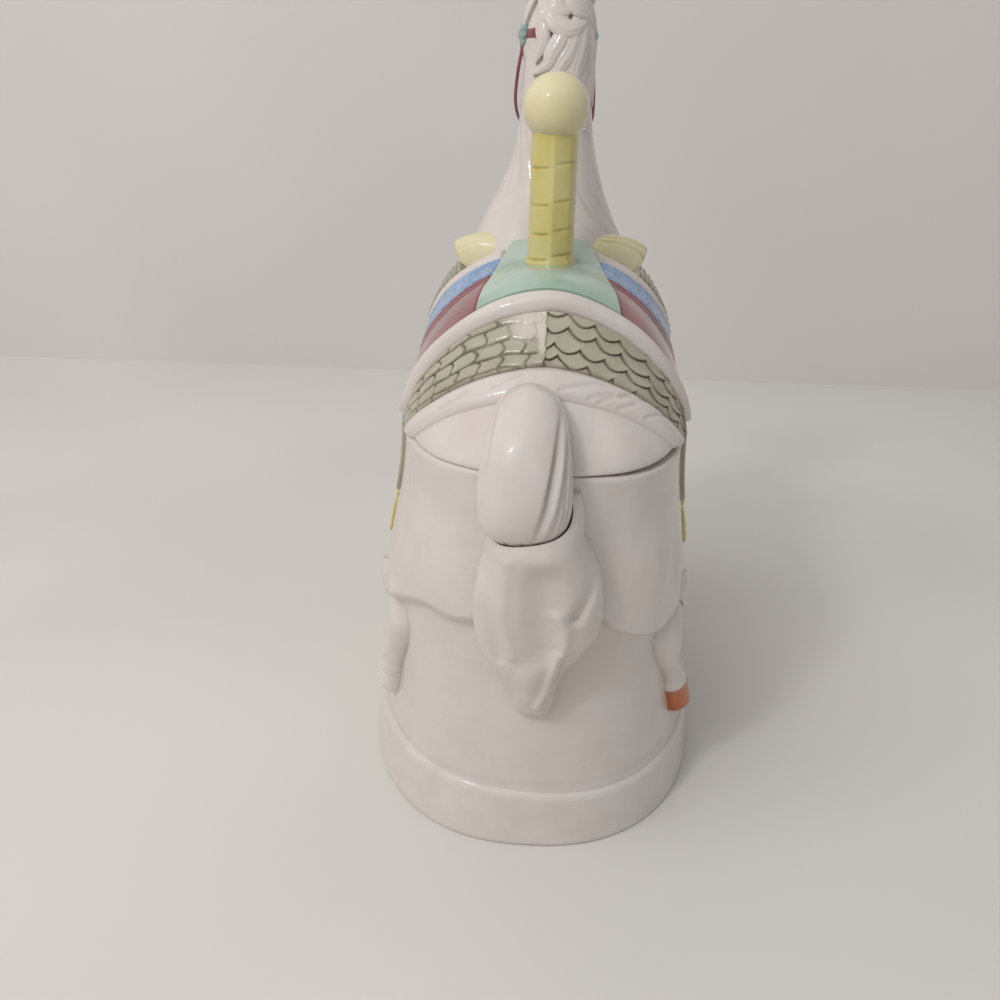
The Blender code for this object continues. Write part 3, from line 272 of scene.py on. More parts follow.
def lid_half_width(y):
    """Half width of the lid's lower edge at a place along the horse, a superellipse."""
    share = np.minimum(np.abs(y) / RIM_HALF[1], 1)
    return RIM_HALF[0] * (1 - share ** RIM_SQUARENESS) ** (1 / RIM_SQUARENESS)


def back(y, climb):
    """The back: x = w cos^(2/p), z = H sin^(2/q), where w, H, p and q change along the horse."""
    place = leaned(y, climb)
    share = place / RIM_HALF[1]
    cosine, sine = np.cos(climb), np.abs(np.sin(climb))
    across = np.sign(cosine) * np.abs(cosine) ** (2 / curve(TOP_POWER, share))
    rise = curve(BACK, share) * sine ** (2 / curve(FLANK_POWER, share))
    return stack(lid_half_width(place) * across, place, SEAM + GAP + rise)


def lid(y, climb, lift=0.0):
    """The back, moved out by lift along its normal, the cross product of its two slopes."""
    near = np.clip(y, 2 - RIM_HALF[1], RIM_HALF[1] - 2)
    inner = np.clip(climb, 0.04, np.pi - 0.04)
    lengthwise = back(near + 1, inner) - back(near - 1, inner)
    over = back(near, inner + 0.02) - back(near, inner - 0.02)
    normal = np.cross(lengthwise, over)
    normal *= np.sign(normal[..., 2:]) / np.linalg.norm(normal, axis=-1, keepdims=True)
    return back(y, climb) + normal * np.asarray(lift)[..., None]


def neck(turn, rise, lift=0.0):
    """The neck: superellipses of power 2.2 whose middle and half sizes change with the rise."""
    middle, half_width, half_depth = (curve(column(NECK, i), rise) for i in (1, 2, 3))
    x, y = oval(turn, half_width + lift, half_depth + lift, 2.2)
    return stack(x, y + middle, SEAM + rise)


FACE_ONWARD = np.array([0, np.cos(HEAD_PITCH), -np.sin(HEAD_PITCH)])
FACE_UPWARD = np.array([0, np.sin(HEAD_PITCH), np.cos(HEAD_PITCH)])


def face(turn, distance, lift=0.0):
    """The head: ovals square to a straight face line, each hanging below it by its half depth."""
    half_width, half_depth = (curve(column(HEAD, i), distance) for i in (1, 2))
    x, up = oval(turn, half_width + lift, half_depth + lift, 2.3)
    middle = POLL + FACE_ONWARD * np.asarray(distance)[..., None]
    return middle + FACE_UPWARD * (up - half_depth)[..., None] + stack(x, 0, 0)


def wave(*phases):
    """A soft wander between -1 and 1: the mean of sines of the given phases."""
    return sum(np.sin(phase) for phase in phases) / len(phases)


print("rump at y -95, mm up:", round(float(back(-95.0, np.pi / 2)[2]), 1))
print("wall's rear at z 60, mm:", round(float(rear_y(np.array(0.0), 60.0)), 1))

# %% [markdown]
# ## Glazes
# The ware is pale earthenware painted with underglaze colours and dipped in one clear glaze. So
# each finish is a colour under a glossy coat. Real painting is uneven: the brush leaves thin
# places, and a thin dark wash is wiped over the relief and stays in the grooves. Two numbers on
# each point say where: "wash" for the wiped colour and "bare" for unpainted clay. On the ball's
# lower part and in the seat's corners the wash is painted shade. The glaze itself is a little
# wavy, which breaks up its highlights.

# %% Colours and a small node builder
def linear(colour):
    """sRGB hex to linear: ((c + 0.055) / 1.055)^2.4 above 0.04045, c / 12.92 below."""
    share = [int(colour[i:i + 2], 16) / 255 for i in (1, 3, 5)]
    return [((c + 0.055) / 1.055) ** 2.4 if c > 0.04045 else c / 12.92 for c in share] + [1.0]


def node(tree, kind, links=None, values=None, **settings):
    """Adds one node: settings on the node, values on its sockets, links into its sockets."""
    made = tree.nodes.new("ShaderNode" + kind)
    for name, value in settings.items():
        setattr(made, name, value)
    for name, value in (values or {}).items():
        made.inputs[name].default_value = value
    for name, source in (links or {}).items():
        tree.links.new(source, made.inputs[name])
    return made


def noise(tree, place, size, detail=2.0, stretch=None):
    """A noise whose lumps are about size millimetres across."""
    if stretch:
        place = node(tree, "Mapping", {"Vector": place}, {"Scale": stretch}).outputs[0]
    return node(tree, "TexNoise", {"Vector": place},
                {"Scale": 1 / (size * MM), "Detail": detail, "Roughness": 0.55}).outputs["Fac"]


def between(tree, value, low, high, start=0.0, end=1.0):
    """Maps value from low..high to start..end, held at both ends."""
    return node(tree, "MapRange", {"Value": value},
                {"From Min": low, "From Max": high, "To Min": start, "To Max": end}).outputs[0]


def mixed(tree, share, first, second):
    """A colour between two colours; each is a colour value or a socket."""
    made = node(tree, "Mix", data_type="RGBA")
    for socket, source in zip((0, 6, 7), (share, first, second)):
        if isinstance(source, (list, float)):
            made.inputs[socket].default_value = source
        else:
            tree.links.new(source, made.inputs[socket])
    return made.outputs[2]


CLAY, SPECK = "#DDD3CD", "#8C8378"


def glazed(name, colour, thin, wash, unevenness=0.5, mottle=0.0, mottled="#FFFFFF", matt=0.0,
           streaks=None):
    """Painted earthenware under clear glaze.

    colour is the paint, thin is where the brush ran dry, wash is the dark wipe in the grooves and,
    on the ball and the seat, painted shade, and bare is the clay. mottle sponges a second colour
    over the paint.
    """
    material = bpy.data.materials.new(name)
    material.use_nodes = True
    tree = material.node_tree
    shader = tree.nodes["Principled BSDF"]
    place = node(tree, "TexCoord").outputs["Object"]
    dry = between(tree, noise(tree, place, 22, 3, streaks), 0.38, 0.66, 0.0, unevenness)
    paint = mixed(tree, dry, linear(colour), linear(thin))
    if mottle:
        blots = between(tree, noise(tree, place, 3.2, 4), 0.46, 0.6, 0.0, mottle)
        paint = mixed(tree, blots, paint, linear(mottled))
    # The wash mark: wiped colour in the grooves, and painted shade on the ball and the seat.
    wiped_and_shaded = node(tree, "Attribute", attribute_name="wash").outputs["Fac"]
    wobble = between(tree, noise(tree, place, 5, 3), 0.3, 0.7, 0.55, 1.15)
    wiped_and_shaded = node(tree, "Math", {0: wiped_and_shaded, 1: wobble},
                 operation="MULTIPLY", use_clamp=True).outputs[0]
    paint = mixed(tree, wiped_and_shaded, paint, linear(wash))
    bare = node(tree, "Attribute", attribute_name="bare").outputs["Fac"]
    paint = mixed(tree, bare, paint, linear(CLAY))
    specks = between(tree, noise(tree, place, 1.6, 1), 0.785, 0.80, 0.0, 0.45)
    paint = mixed(tree, specks, paint, linear(SPECK))
    tree.links.new(paint, shader.inputs["Base Color"])
    rough = between(tree, noise(tree, place, 12), 0.3, 0.7, 0.34 + matt, 0.46 + matt)
    tree.links.new(rough, shader.inputs["Roughness"])
    for socket, value in (("Coat Weight", 0.9 - matt), ("Coat Roughness", 0.07 + 0.5 * matt),
                          ("Coat IOR", 1.5), ("Specular IOR Level", 0.35)):
        shader.inputs[socket].default_value = value
    ripple = node(tree, "Bump", {"Height": noise(tree, place, 6, 2)},
                  {"Strength": 0.45, "Distance": 0.5 * MM}).outputs[0]
    peel = node(tree, "Bump", {"Height": noise(tree, place, 1.4, 2), "Normal": ripple},
                {"Strength": 0.25, "Distance": 0.08 * MM}).outputs[0]
    tree.links.new(peel, shader.inputs["Normal"])
    tree.links.new(peel, shader.inputs["Coat Normal"])
    return material


# Each is fired earthenware with the named underglaze colour
WHITE = glazed("glazed_earthenware_white", "#D2C9C4", "#CBBFB8", "#857C72", 0.7)
GREY_GREEN = glazed("glazed_earthenware_grey_green", "#A59F8C", "#B6B09F", "#655C4A", 0.8,
                    matt=0.12)
# Mint's wash colour is used only as painted shade, in the seat's corners.
MINT = glazed("glazed_earthenware_mint", "#A3B9AC", "#B3C6BA", "#6C9482", 0.7)
BURGUNDY = glazed("glazed_earthenware_burgundy", "#823A42", "#9A535C", "#4E1620", 0.8,
                  streaks=(1, 0.3, 1))
BLUE = glazed("glazed_earthenware_blue", "#648CBC", "#86A5CA", "#365A98", 0.6,
              mottle=0.5, mottled="#A9B9CC")
YELLOW = glazed("glazed_earthenware_yellow", "#CABC6C", "#D2C88E", "#A28F22", 0.9)
# Cream's wash colour darkens the rolls' folds, and is painted shade on the ball's lower part.
CREAM = glazed("glazed_earthenware_cream", "#D6CB9E", "#DDD5B6", "#A98D58", 0.8)
BROWN = glazed("glazed_earthenware_brown", "#A9501A", "#C0682A", "#6E2E0C", 0.7)
TEAL = glazed("glazed_earthenware_teal", "#86A09C", "#9DB0A9", "#4B6A68", 0.6)
BLACK = glazed("glazed_earthenware_black", "#2A2320", "#3A302A", "#120E0C", 0.3)
print("finishes:", len([m for m in bpy.data.materials if m.name.startswith("glazed_")]))

# %% [markdown]
# ## Making a piece from grids
# Every surface is a grid of points, so its faces are index arithmetic. Closed grids join their
# last column to the first, and rows that shrink to a point become poles when the coincident
# points are merged. The merged body is then faced outwards.

# %% Piece makers
MARKS = ("wash", "bare")


def sheet(points, closed=False, **marks):
    """One grid of points, rows by columns, with its marks."""
    return {"points": points, "closed": closed, "marks": marks}


def with_middles(rings):
    """The rings with their first and last closed by a row at the ring's middle."""
    first, last = (rings[[i]].mean(axis=1, keepdims=True).repeat(rings.shape[1], axis=1)
                   for i in (0, -1))
    return np.concatenate([first, rings, last])


def tube(points, **marks):
    """Rings of points closed by a middle point at both ends."""
    rings = with_middles(points)
    padded = {key: np.pad(np.broadcast_to(value, points.shape[:2]), ((1, 1), (0, 0)), mode="edge")
              for key, value in marks.items()}
    return sheet(rings, True, **padded)


def grid_mesh(name, grids):
    """One mesh of all the grids, merged and faced outwards."""
    points, faces, start = [], [], 0
    marks = {key: [] for key in MARKS}
    for grid in grids:
        rows, columns = grid["points"].shape[:2]
        index = start + np.arange(rows * columns).reshape(rows, columns)
        onward = np.roll(index, -1, axis=1)
        squares = np.stack([index[:-1], onward[:-1], onward[1:], index[1:]], axis=-1)
        faces.append(squares[:, :columns if grid["closed"] else columns - 1].reshape(-1, 4))
        points.append(grid["points"].reshape(-1, 3))
        for key in MARKS:
            value = np.broadcast_to(grid["marks"].get(key, 0.0), (rows, columns))
            marks[key].append(value.ravel())
        start += rows * columns
    mesh = bpy.data.meshes.new(name)
    mesh.from_pydata((np.concatenate(points) * MM).tolist(), [], np.concatenate(faces).tolist())
    for key in MARKS:
        held = mesh.attributes.new(key, "FLOAT", "POINT")
        held.data.foreach_set("value", np.concatenate(marks[key]).astype(np.float32))
    return tidied(mesh)


def tidied(mesh):
    """Merges coincident points, drops empty faces and faces the rest outwards."""
    builder = bmesh.new()
    builder.from_mesh(mesh)
    bmesh.ops.remove_doubles(builder, verts=builder.verts, dist=0.02 * MM)
    bmesh.ops.dissolve_degenerate(builder, edges=builder.edges, dist=0.004 * MM)
    bmesh.ops.recalc_face_normals(builder, faces=builder.faces)
    builder.to_mesh(mesh)
    builder.free()
    return mesh


def piece(name, mesh, material, body, slot, *replaced, sharp=48):
    """An object that rides on a casting and stands for the CAD nodes it replaces."""
    thing = bpy.data.objects.new(name, mesh)
    bpy.context.scene.collection.objects.link(thing)
    mesh.materials.clear()
    mesh.materials.append(material)
    mesh.shade_smooth()
    mesh.set_sharp_from_angle(angle=math.radians(sharp))
    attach(thing, body)
    if replaced:
        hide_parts(*replaced)
    return thing


def through_modifiers(mesh, *steps):
    """The mesh after a few modifiers; each step is (kind, settings)."""
    thing = bpy.data.objects.new("in_work", mesh)
    bpy.context.scene.collection.objects.link(thing)
    for kind, settings in steps:
        modifier = thing.modifiers.new(kind.lower(), kind)
        for name, value in settings.items():
            setattr(modifier, name, value)
    seen = thing.evaluated_get(bpy.context.evaluated_depsgraph_get())
    made = bpy.data.meshes.new_from_object(seen)
    bpy.data.objects.remove(thing)
    return made


def cut(mesh, cutter_mesh):
    """The mesh with another closed mesh taken out of it."""
    cutter = bpy.data.objects.new("cutter", cutter_mesh)
    bpy.context.scene.collection.objects.link(cutter)
    made = through_modifiers(mesh, ("BOOLEAN", {"object": cutter, "solver": "EXACT"}))
    bpy.data.objects.remove(cutter)
    return made


def points_of(mesh):
    """Places and normals of a mesh's points, in millimetres."""
    places, normals = np.empty((2, len(mesh.vertices) * 3))
    mesh.vertices.foreach_get("co", places)
    mesh.vertices.foreach_get("normal", normals)
    return places.reshape(-1, 3) / MM, normals.reshape(-1, 3)


def remodel(mesh, places, **marks):
    """Moves a mesh's points and writes its marks."""
    mesh.vertices.foreach_set("co", (places * MM).ravel())
    for key in MARKS:
        held = mesh.attributes.get(key) or mesh.attributes.new(key, "FLOAT", "POINT")
        value = np.broadcast_to(marks.get(key, 0.0), len(places)).astype(np.float32)
        held.data.foreach_set("value", value)
    mesh.update()
    return mesh


def path_rings(path, half_width, half_thickness, sides, shape=None, up=(1, 0, 0)):
    """Rings square to a path. Across is as near to up as it can be, out is their cross product.

    Ring point: path + across * w * cos(t) + out * h * sin(t), times shape(t, share) if given.
    """
    onward = np.gradient(path, axis=0)
    onward /= np.linalg.norm(onward, axis=-1, keepdims=True) + 1e-9
    across = np.broadcast_to(np.asarray(up, float), path.shape)
    across = across - onward * np.sum(across * onward, axis=-1, keepdims=True)
    across /= np.linalg.norm(across, axis=-1, keepdims=True) + 1e-9
    out = np.cross(onward, across)
    turn = full_turn(sides)[..., None]
    swell = 1.0
    if shape is not None:
        share = np.linspace(0, 1, len(path))[:, None]
        swell = shape(turn[..., 0], share)[..., None]
    width = np.broadcast_to(half_width, len(path))[:, None, None]
    thickness = np.broadcast_to(half_thickness, len(path))[:, None, None]
    return (path[:, None] + swell * (across[:, None] * width * np.cos(turn)
                                     + out[:, None] * thickness * np.sin(turn)))


print("marks on every point:", MARKS)

# %% [markdown]
# ## The jar casting
# The pot was poured into a mould of the standing horse: a plinth with a soft edge, a wall that
# flares to it, and the horse's belly, haunches and rump in low relief. One grid goes from the
# middle of the underside up the outside, over the rim, down the inside and across the floor.
# The underside isn't glazed, because the pot stood on it in the kiln. The rim dips a little at
# the right rear, where the clay sagged, so the seam opens there.

# %% Jar body
def stroke(u, v, line, width):
    """1 on a line of (u, v) points, smoothly down to 0 at the given distance from it."""
    nearest = np.full(np.broadcast(u, v).shape, np.inf)
    for (u0, v0), (u1, v1) in zip(line, line[1:]):
        du, dv = u1 - u0, v1 - v0
        share = np.clip(((u - u0) * du + (v - v0) * dv) / (du * du + dv * dv), 0, 1)
        nearest = np.minimum(nearest, np.hypot(u - u0 - share * du, v - v0 - share * dv))
    return bump(nearest / width)


wall_turn = full_turn(320)
RIM_DIP, PLINTH_DIP = 2.8, 3.6


def plinth_rings(heights, insets):
    """Level superellipse rings that narrow by the taper from foot to top."""
    heights, insets = (np.asarray(value, float)[:, None] for value in (heights, insets))
    narrow = PLINTH_TAPER * heights / PLINTH_HEIGHT + insets
    x, y = oval(wall_turn, PLINTH_HALF[0] - narrow, PLINTH_HALF[1] - narrow, PLINTH_SQUARENESS)
    return stack(x, y, heights)


def hollow_rings(heights, insets):
    """Level rings of the hollow, a wall's thickness inside."""
    heights, insets = (np.asarray(value, float)[:, None] for value in (heights, insets))
    half_width, half_length, squareness = wall_sizes(np.maximum(heights, PLINTH_HEIGHT))
    share = eased((heights - PLINTH_HEIGHT) / (SEAM - PLINTH_HEIGHT))
    x, y = oval(wall_turn, half_width - WALL - insets + SIDE_RELIEF * share,
                half_length - WALL - insets + END_RELIEF * share, squareness)
    return stack(x, y, heights)


def jar_grid():
    """Underside, plinth, wall, rim, inside and floor, one below the other."""
    corner = np.linspace(0, np.pi / 2, 9)
    small = np.linspace(0, np.pi / 2, 4)
    levels = np.linspace(PLINTH_HEIGHT + 0.6, SEAM - LIP, 176)[:, None]
    sag = 0.22 * wave(3 * wall_turn + levels / 21, 5 * wall_turn - levels / 13 + 1, levels / 9 + 2)
    outside = [
        plinth_rings([0.8, 0.8, 0.0], [70, 15, 13]),
        plinth_rings(1.2 * (1 - np.cos(small)), 1.2 * (1 - np.sin(small))),
        plinth_rings(np.linspace(3, 24.5, 9), np.zeros(9)),
        plinth_rings(PLINTH_HEIGHT - 3.5 + 3.5 * np.sin(corner), LEDGE * (1 - np.cos(corner))),
        wall(wall_turn, levels, sag),
    ]
    rim = [wall(wall_turn, SEAM - LIP + LIP * math.sin(a), -LIP * (1 - math.cos(a)))
           for a in np.linspace(0.3, np.pi / 2, 5)]
    lip = [hollow_rings([SEAM - LIP + LIP * math.sin(a)], [-LIP * (1 - math.cos(a))])
           for a in np.linspace(np.pi / 2, 0, 5)]
    inside = [hollow_rings(np.linspace(SEAM - 3, 16, 24), np.zeros(24)),
              hollow_rings(13 - 6 * np.sin(corner), 6 * (1 - np.cos(corner))),
              hollow_rings([7.0, 7.0], [40, 58])]
    grid = np.concatenate(outside + rim + lip + inside)
    degrees = np.degrees(np.arctan2(grid[..., 0], -grid[..., 1]))
    height = grid[..., 2]
    dip = RIM_DIP * bump((degrees - 44) / 40) + 0.2 * wave(4 * np.radians(degrees))
    near_foot = np.minimum(height / PLINTH_HEIGHT, eased((84 - height) / 55))
    low = PLINTH_DIP * bump((degrees - 22) / 62) * near_foot
    grid[..., 2] = height - dip * eased((height - 130) / (SEAM - 132)) - low
    return with_middles(grid)


jar_points = jar_grid()
underside = np.zeros(jar_points.shape[:2])
underside[:5] = 1.0
crease = 0.10 * bump((jar_points[..., 2] - 30.5) / 2.5)
jar_body = grid_mesh("jar_body", [sheet(jar_points, True, bare=underside, wash=crease)])
piece("cast_jar_body", jar_body, WHITE, "jar", "white_glaze", "jar_body")
print("jar body rings:", len(jar_points))

# %% [markdown]
# ## The tail on the jar
# The lower part of the tail is a leaf of clay that stands off the rump, hollowed at its top where
# the lid's tail drops in, and carved with a few broad facets. It is a tube of level ovals whose
# back is pressed onto the wall. The socket is cut with the lid's own tail, grown by its clearance.

# %% Lower tail
TAIL_CLEARANCE = 0.9


def upper_tail_rings(count, sides, grow=0.0, shape=None):
    """Rings along the lid's tail, wider by grow."""
    place = np.linspace(0, 7, count)
    *path, half_width, half_thickness = (through(values, place) for values in UPPER_TAIL.T)
    path = np.stack(path, axis=-1)
    return path_rings(path, half_width + grow, half_thickness + grow, sides, shape)


# Millimetres carved off the leaf, half width of the cut, its line as (across, height)
LEAF_CUTS = ((3.6, 4.2, ((22, 146), (20, 133), (15, 121))),
             (2.6, 11, ((2, 138), (2, 120), (3, 106))),
             (-1.8, 3.2, ((8, 123), (12, 116), (11, 105))),
             (-2.2, 3.6, ((9, 103), (8, 95), (6, 84), (2, 74))),
             (2.4, 4.4, ((14, 100), (11, 88))),
             (-1.6, 8, ((-2, 92), (-1, 80))),
             (1.5, 4.5, ((-19, 146), (-20, 124), (-14, 100))),
             (-0.9, 3.6, ((-12, 146), (-13, 122), (-9, 102))))


def lower_tail_grid():
    """Level ovals: x = m + w cos t, y = wall - s sin t, less the carved facets."""
    depth = np.linspace(5.4, 105.4, 120)[:, None]
    middle, half_width, stand_out = (curve(column(LOWER_TAIL, i), depth) for i in (1, 2, 3))
    turn = full_turn(96)
    height = SEAM - depth + 0 * turn
    cosine, sine = np.cos(turn), np.sin(turn)
    x = middle + half_width * np.sign(cosine) * np.abs(cosine) ** 0.9
    front = np.maximum(sine, 0) ** 0.8
    rump = wall_sizes(height)[1] + END_RELIEF * eased((height - 70) / 60)
    y = -rump - stand_out * front
    carved = sum(cut_in * stroke(x, height, line, wide) for cut_in, wide, line in LEAF_CUTS)
    y = y + carved * front * eased((SEAM - 6 - height) / 12)
    y = np.where(sine < 0, np.inf, y)
    return stack(x, np.minimum(y, rear_y(x, height) + 1.5), height)


lower_tail_points = lower_tail_grid()
socket = grid_mesh("socket", [tube(upper_tail_rings(60, 48, TAIL_CLEARANCE))])
lower_tail = cut(grid_mesh("lower_tail", [tube(lower_tail_points)]), socket)
piece("cast_lower_tail", lower_tail, WHITE, "jar", "white_glaze", "lower_tail", sharp=60)
print("lower tail hangs to z", round(float(lower_tail_points[..., 2].min())), "mm")

# %% [markdown]
# ## Legs and hooves
# Each leg is a bent tube in half relief on the jar's side, thick at the thigh and drawn in at the
# knee and the shank, with the hoof on its end. The path runs along the wall, so its middle is a
# point of the wall moved in or out, and what would come through the wall is held just under it.

# %% Legs
def kept_out(points, side, sunk=2.0):
    """Holds points at most sunk millimetres under the jar's outer face."""
    under = wall_side(points[..., 1], points[..., 2], side, -sunk)[..., 0]
    points[..., 0] = side * np.maximum(side * points[..., 0], side * under)
    return points


def leg_path(leg, side, drop, proud):
    """Middle and radius along the leg; it is lower by drop at the foot, proud at the hock."""
    place = np.linspace(0, len(leg) - 1, 64)
    y, depth, radius, stand_out = (through(values, place) for values in zip(*leg))
    height = SEAM - depth - drop * place / place[-1]
    stand_out = stand_out + proud * bump((place - 3.2) / 2.2)
    return wall_side(y, height, side, stand_out - radius), radius


def leg_shape(turn, share):
    """Knee cap, tendon groove and fetlock as small swells of the ring."""
    knee = 0.09 * bump((share - 0.56) / 0.12) * np.cos(2 * turn)
    tendon = -0.07 * bump((share - 0.78) / 0.2) * np.cos(3 * turn)
    return 1 + knee + tendon + 0.06 * bump((share - 0.95) / 0.08)


HOOF_TOP, HOOF_SOLE, HOOF_LENGTH = 7.0, 7.9, 15


def hoof_rings(end, before):
    """Rings from the leg's end on, with a flat sole and a slight lip at the coronet."""
    onward = (end - before) / np.linalg.norm(end - before)
    share = np.array([0, .04, .1, .3, .5, .7, .88, .96, 1.0, 1.0])
    radius = np.interp(share, [0, .04, .1, 1],
                       [HOOF_TOP * .96, HOOF_TOP * 1.05, HOOF_TOP, HOOF_SOLE])
    radius[-2:] = radius[-2] * 0.96, radius[-2] * 0.6
    path = end + onward * (HOOF_LENGTH * share[:, None] - 0.4)
    path[-1] = path[-2] + onward * 0.01
    return path_rings(path, radius, radius, 40)


# name, line, side, millimetres lower at the foot, millimetres prouder at the hock
LEGS = (("right_hind", HIND_LEG, 1, 3, 2.8), ("left_hind", HIND_LEG, -1, 0, 0.5),
        ("right_fore", FORE_LEG, 1, 0, 0), ("left_fore", FORE_LEG, -1, -8, 0))
for name, leg, side, drop, proud in LEGS:
    path, radius = leg_path(leg, side, drop, proud)
    rings = kept_out(path_rings(path, radius, radius, 40, leg_shape), side)
    piece(f"cast_{name}_leg", grid_mesh(f"{name}_leg", [tube(rings)]), WHITE, "jar", "white_glaze",
          f"{name}_leg", sharp=70)
    rings = kept_out(hoof_rings(path[-1], path[-3]), side)
    sole = np.zeros(rings.shape[:2])
    sole[-2:] = 0.9
    missed = eased(np.sin(full_turn(40)) * 1.6 + 0.9) * (name == "left_hind") + 0 * sole
    hoof = grid_mesh(f"{name}_hoof", [tube(rings, wash=sole, bare=missed)])
    piece(f"cast_{name}_hoof", hoof, BROWN, "jar", "brown_glaze", f"{name}_hoof")
print("legs:", len(LEGS))

# %% [markdown]
# ## The blanket's flaps and tassels
# Below the seam the scaled blanket hangs on the jar's sides in four scallops, with a tassel at
# each end. A scale is a tile whose tip overlaps the tile below: its lower edge is an arc, each
# row is shifted by half a tile, and the wash stays in the step under each tip.

# %% Scales, flaps and tassels
def scales(along, up, wide, tall, bow, skew, seed):
    """(relief, wash) of rows of tiles.

    Row j's lower edge is at e = j h - d s(t), where t is the place inside the tile and s is its
    bow, sin(pi t^skew)^0.7, lowest past the middle if skew is over 1. The relief falls from 1 at
    a tip's edge to 0 under the next tip.
    """
    def edge(row, place):
        """Height of a row's lower edge."""
        shift = 0.16 * np.sin(2.4 * row + seed + place / 23) + 0.07 * np.sin(place / 7 + row)
        t = place / wide + 0.5 * (row % 2) + shift
        t = t - np.floor(t)
        arc = np.sin(np.pi * t ** skew) ** 0.7
        sway = 0.13 * tall * np.sin(place / 13 + 2.1 * row + seed)
        return row * tall - bow * tall * arc + sway

    base = np.floor(up / tall)
    below = np.full(np.broadcast(along, up).shape, -1e9)
    above = np.full(below.shape, 1e9)
    slope = np.zeros(below.shape)
    for step in (-1, 0, 1, 2):
        line = edge(base + step, along)
        tilt = np.abs(edge(base + step, along + 0.2) - edge(base + step, along - 0.2)) / 0.4
        under = line <= up
        below = np.where(under & (line > below), line, below)
        nearer = ~under & (line < above)
        above, slope = np.where(nearer, line, above), np.where(nearer, tilt, slope)
    gap = (above - up) / np.sqrt(1 + np.minimum(slope, 6) ** 2)
    relief = 1 - np.clip((up - below) / tall, 0, 1.4) * 0.65
    groove = np.exp(-(gap / 0.5) ** 2)
    thick = 0.85 + 0.35 * np.sin(along / 5.3 + up / 3 + seed)
    return relief - 0.9 * groove, np.exp(-(gap / thick) ** 2) + 0.22 * eased(1 - gap / 3)


def bricks(along, up, wide, tall, seed):
    """(relief, wash) of staggered bricks with rounded corners and wandering joints."""
    level = up / tall + 0.10 * np.sin(along / 9 + seed) + 0.05 * np.sin(along / 3.1)
    row = np.floor(level)
    place = along / wide + 0.5 * (row % 2) + 0.2 * np.sin(2.1 * row + seed)
    place = place + 0.07 * np.sin(up + row) + 0.08 * np.sin(along / 6.1 + 3 * row)
    side = np.minimum(place - np.floor(place), np.ceil(place) - place) * wide
    end = np.minimum(level - row, row + 1 - level) * tall
    corner = 1.7
    inside = np.hypot(np.maximum(corner - side, 0), np.maximum(corner - end, 0))
    gap = np.maximum(corner - inside, 0)
    thick = 0.75 + 0.35 * np.sin(along / 4.1 + 2 * row + seed)
    wash = np.exp(-(gap / thick) ** 2) + 0.15 * (1 - gap / corner)
    return 0.9 * pillow(gap, corner) - 0.3, wash


def closed_panel(outer, inner, **marks):
    """Outer and inner grids of the same size, with walls between their four edges."""
    walls = [np.stack([outer[edge], inner[edge]]) for edge in (0, -1)]
    walls += [np.stack([outer[:, edge], inner[:, edge]]) for edge in (0, -1)]
    return [sheet(outer, **marks), sheet(inner)] + [sheet(side) for side in walls]


FLAP_REAR, FLAP_LENGTH, FLAP_DEPTH, FLAP_BORDER = -50, 84, 26, 5.5
TILE_WIDTH, TILE_HEIGHT = 12.5, 6.4


def flap_grids(side):
    """The blanket's flap on one side: its depth less the scallops, deeper at both corners."""
    share, down = np.linspace(0, 1, 220)[:, None], np.linspace(0, 1, 64)[None, :]
    y = FLAP_REAR + FLAP_LENGTH * share + 0 * down
    scallop = np.abs(np.cos(4 * np.pi * share))
    corners = bump(share / 0.16) + bump((1 - share) / 0.16)
    depth = FLAP_DEPTH * (1 - 0.18 * (1 - scallop)) + 6 * corners
    height = SEAM - 0.6 - depth * down
    edge = np.minimum(np.minimum(share, 1 - share) * FLAP_LENGTH, (1 - down) * depth)
    relief, dark = scales(y * side, height - 140, TILE_WIDTH, TILE_HEIGHT, 0.6, 0.6, 1.0)
    border = eased(FLAP_BORDER - edge)
    lift = (1.0 + 0.6 * relief) * (1 - border) + 1.7 * border
    lift = -0.8 + (lift + 0.8) * pillow(edge, 1.4) * pillow(down * depth + 0.5, 1.0)
    wash = 0.85 * dark * (1 - border) + 0.35 * bump((edge - FLAP_BORDER) / 0.9)
    outer, inner = (wall_side(y, height, side, out) for out in (lift, -1.0))
    return closed_panel(outer, inner, wash=wash)


TASSEL_RADIUS, TASSEL_TOP, TASSEL_LENGTH = 3.6, 33.0, 21


def tassel_grid(y, side):
    """A knot, a waist and a skirt of threads: the ring swells with cos(11 t)."""
    share = np.linspace(0, 1, 60)[:, None]
    profile = ((0, .45), (.06, .8), (.13, .88), (.2, .6), (.25, .58), (.45, .85), (.8, 1), (1, .92))
    turn = full_turn(66)
    threads = 0.07 * eased((share - 0.22) / 0.1) * np.cos(11 * turn + 2 * share)
    radius = TASSEL_RADIUS * curve(profile, share) * (1 + threads)
    height = SEAM - TASSEL_TOP - TASSEL_LENGTH * share + 0 * turn
    points = wall_side(y + radius * np.cos(turn), height, side)
    points[..., 0] += side * (0.2 + 0.45 * radius * np.sin(turn))
    return kept_out(points, side), 0.6 * eased((-threads - 0.01) / 0.05)


SIDES = (("right", 1), ("left", -1))
for prefix, side in SIDES:
    piece(f"cast_{prefix}_flap", grid_mesh(f"{prefix}_flap", flap_grids(side)), GREY_GREEN, "jar",
          "scale_glaze", f"{prefix}_blanket_flap")
    for place, y in (("rear", FLAP_REAR + 6), ("front", FLAP_REAR + FLAP_LENGTH - 4)):
        threads, dark = tassel_grid(y, side)
        name = f"{prefix}_{place}_tassel"
        piece(f"cast_{name}", grid_mesh(name, [tube(threads, wash=dark)]), YELLOW, "jar",
              "yellow_glaze", name)
print("flaps and tassels on both sides")

# %% [markdown]
# ## The lid's shell
# The lid is the horse's back as a hollow dome. One grid of sections gives the outside, with a
# rounded lower edge; loops under it give the bearing face and the flange that drops inside the
# jar's mouth; and a shrunken copy gives the inside. The neck is hollow too, so its bore is cut.

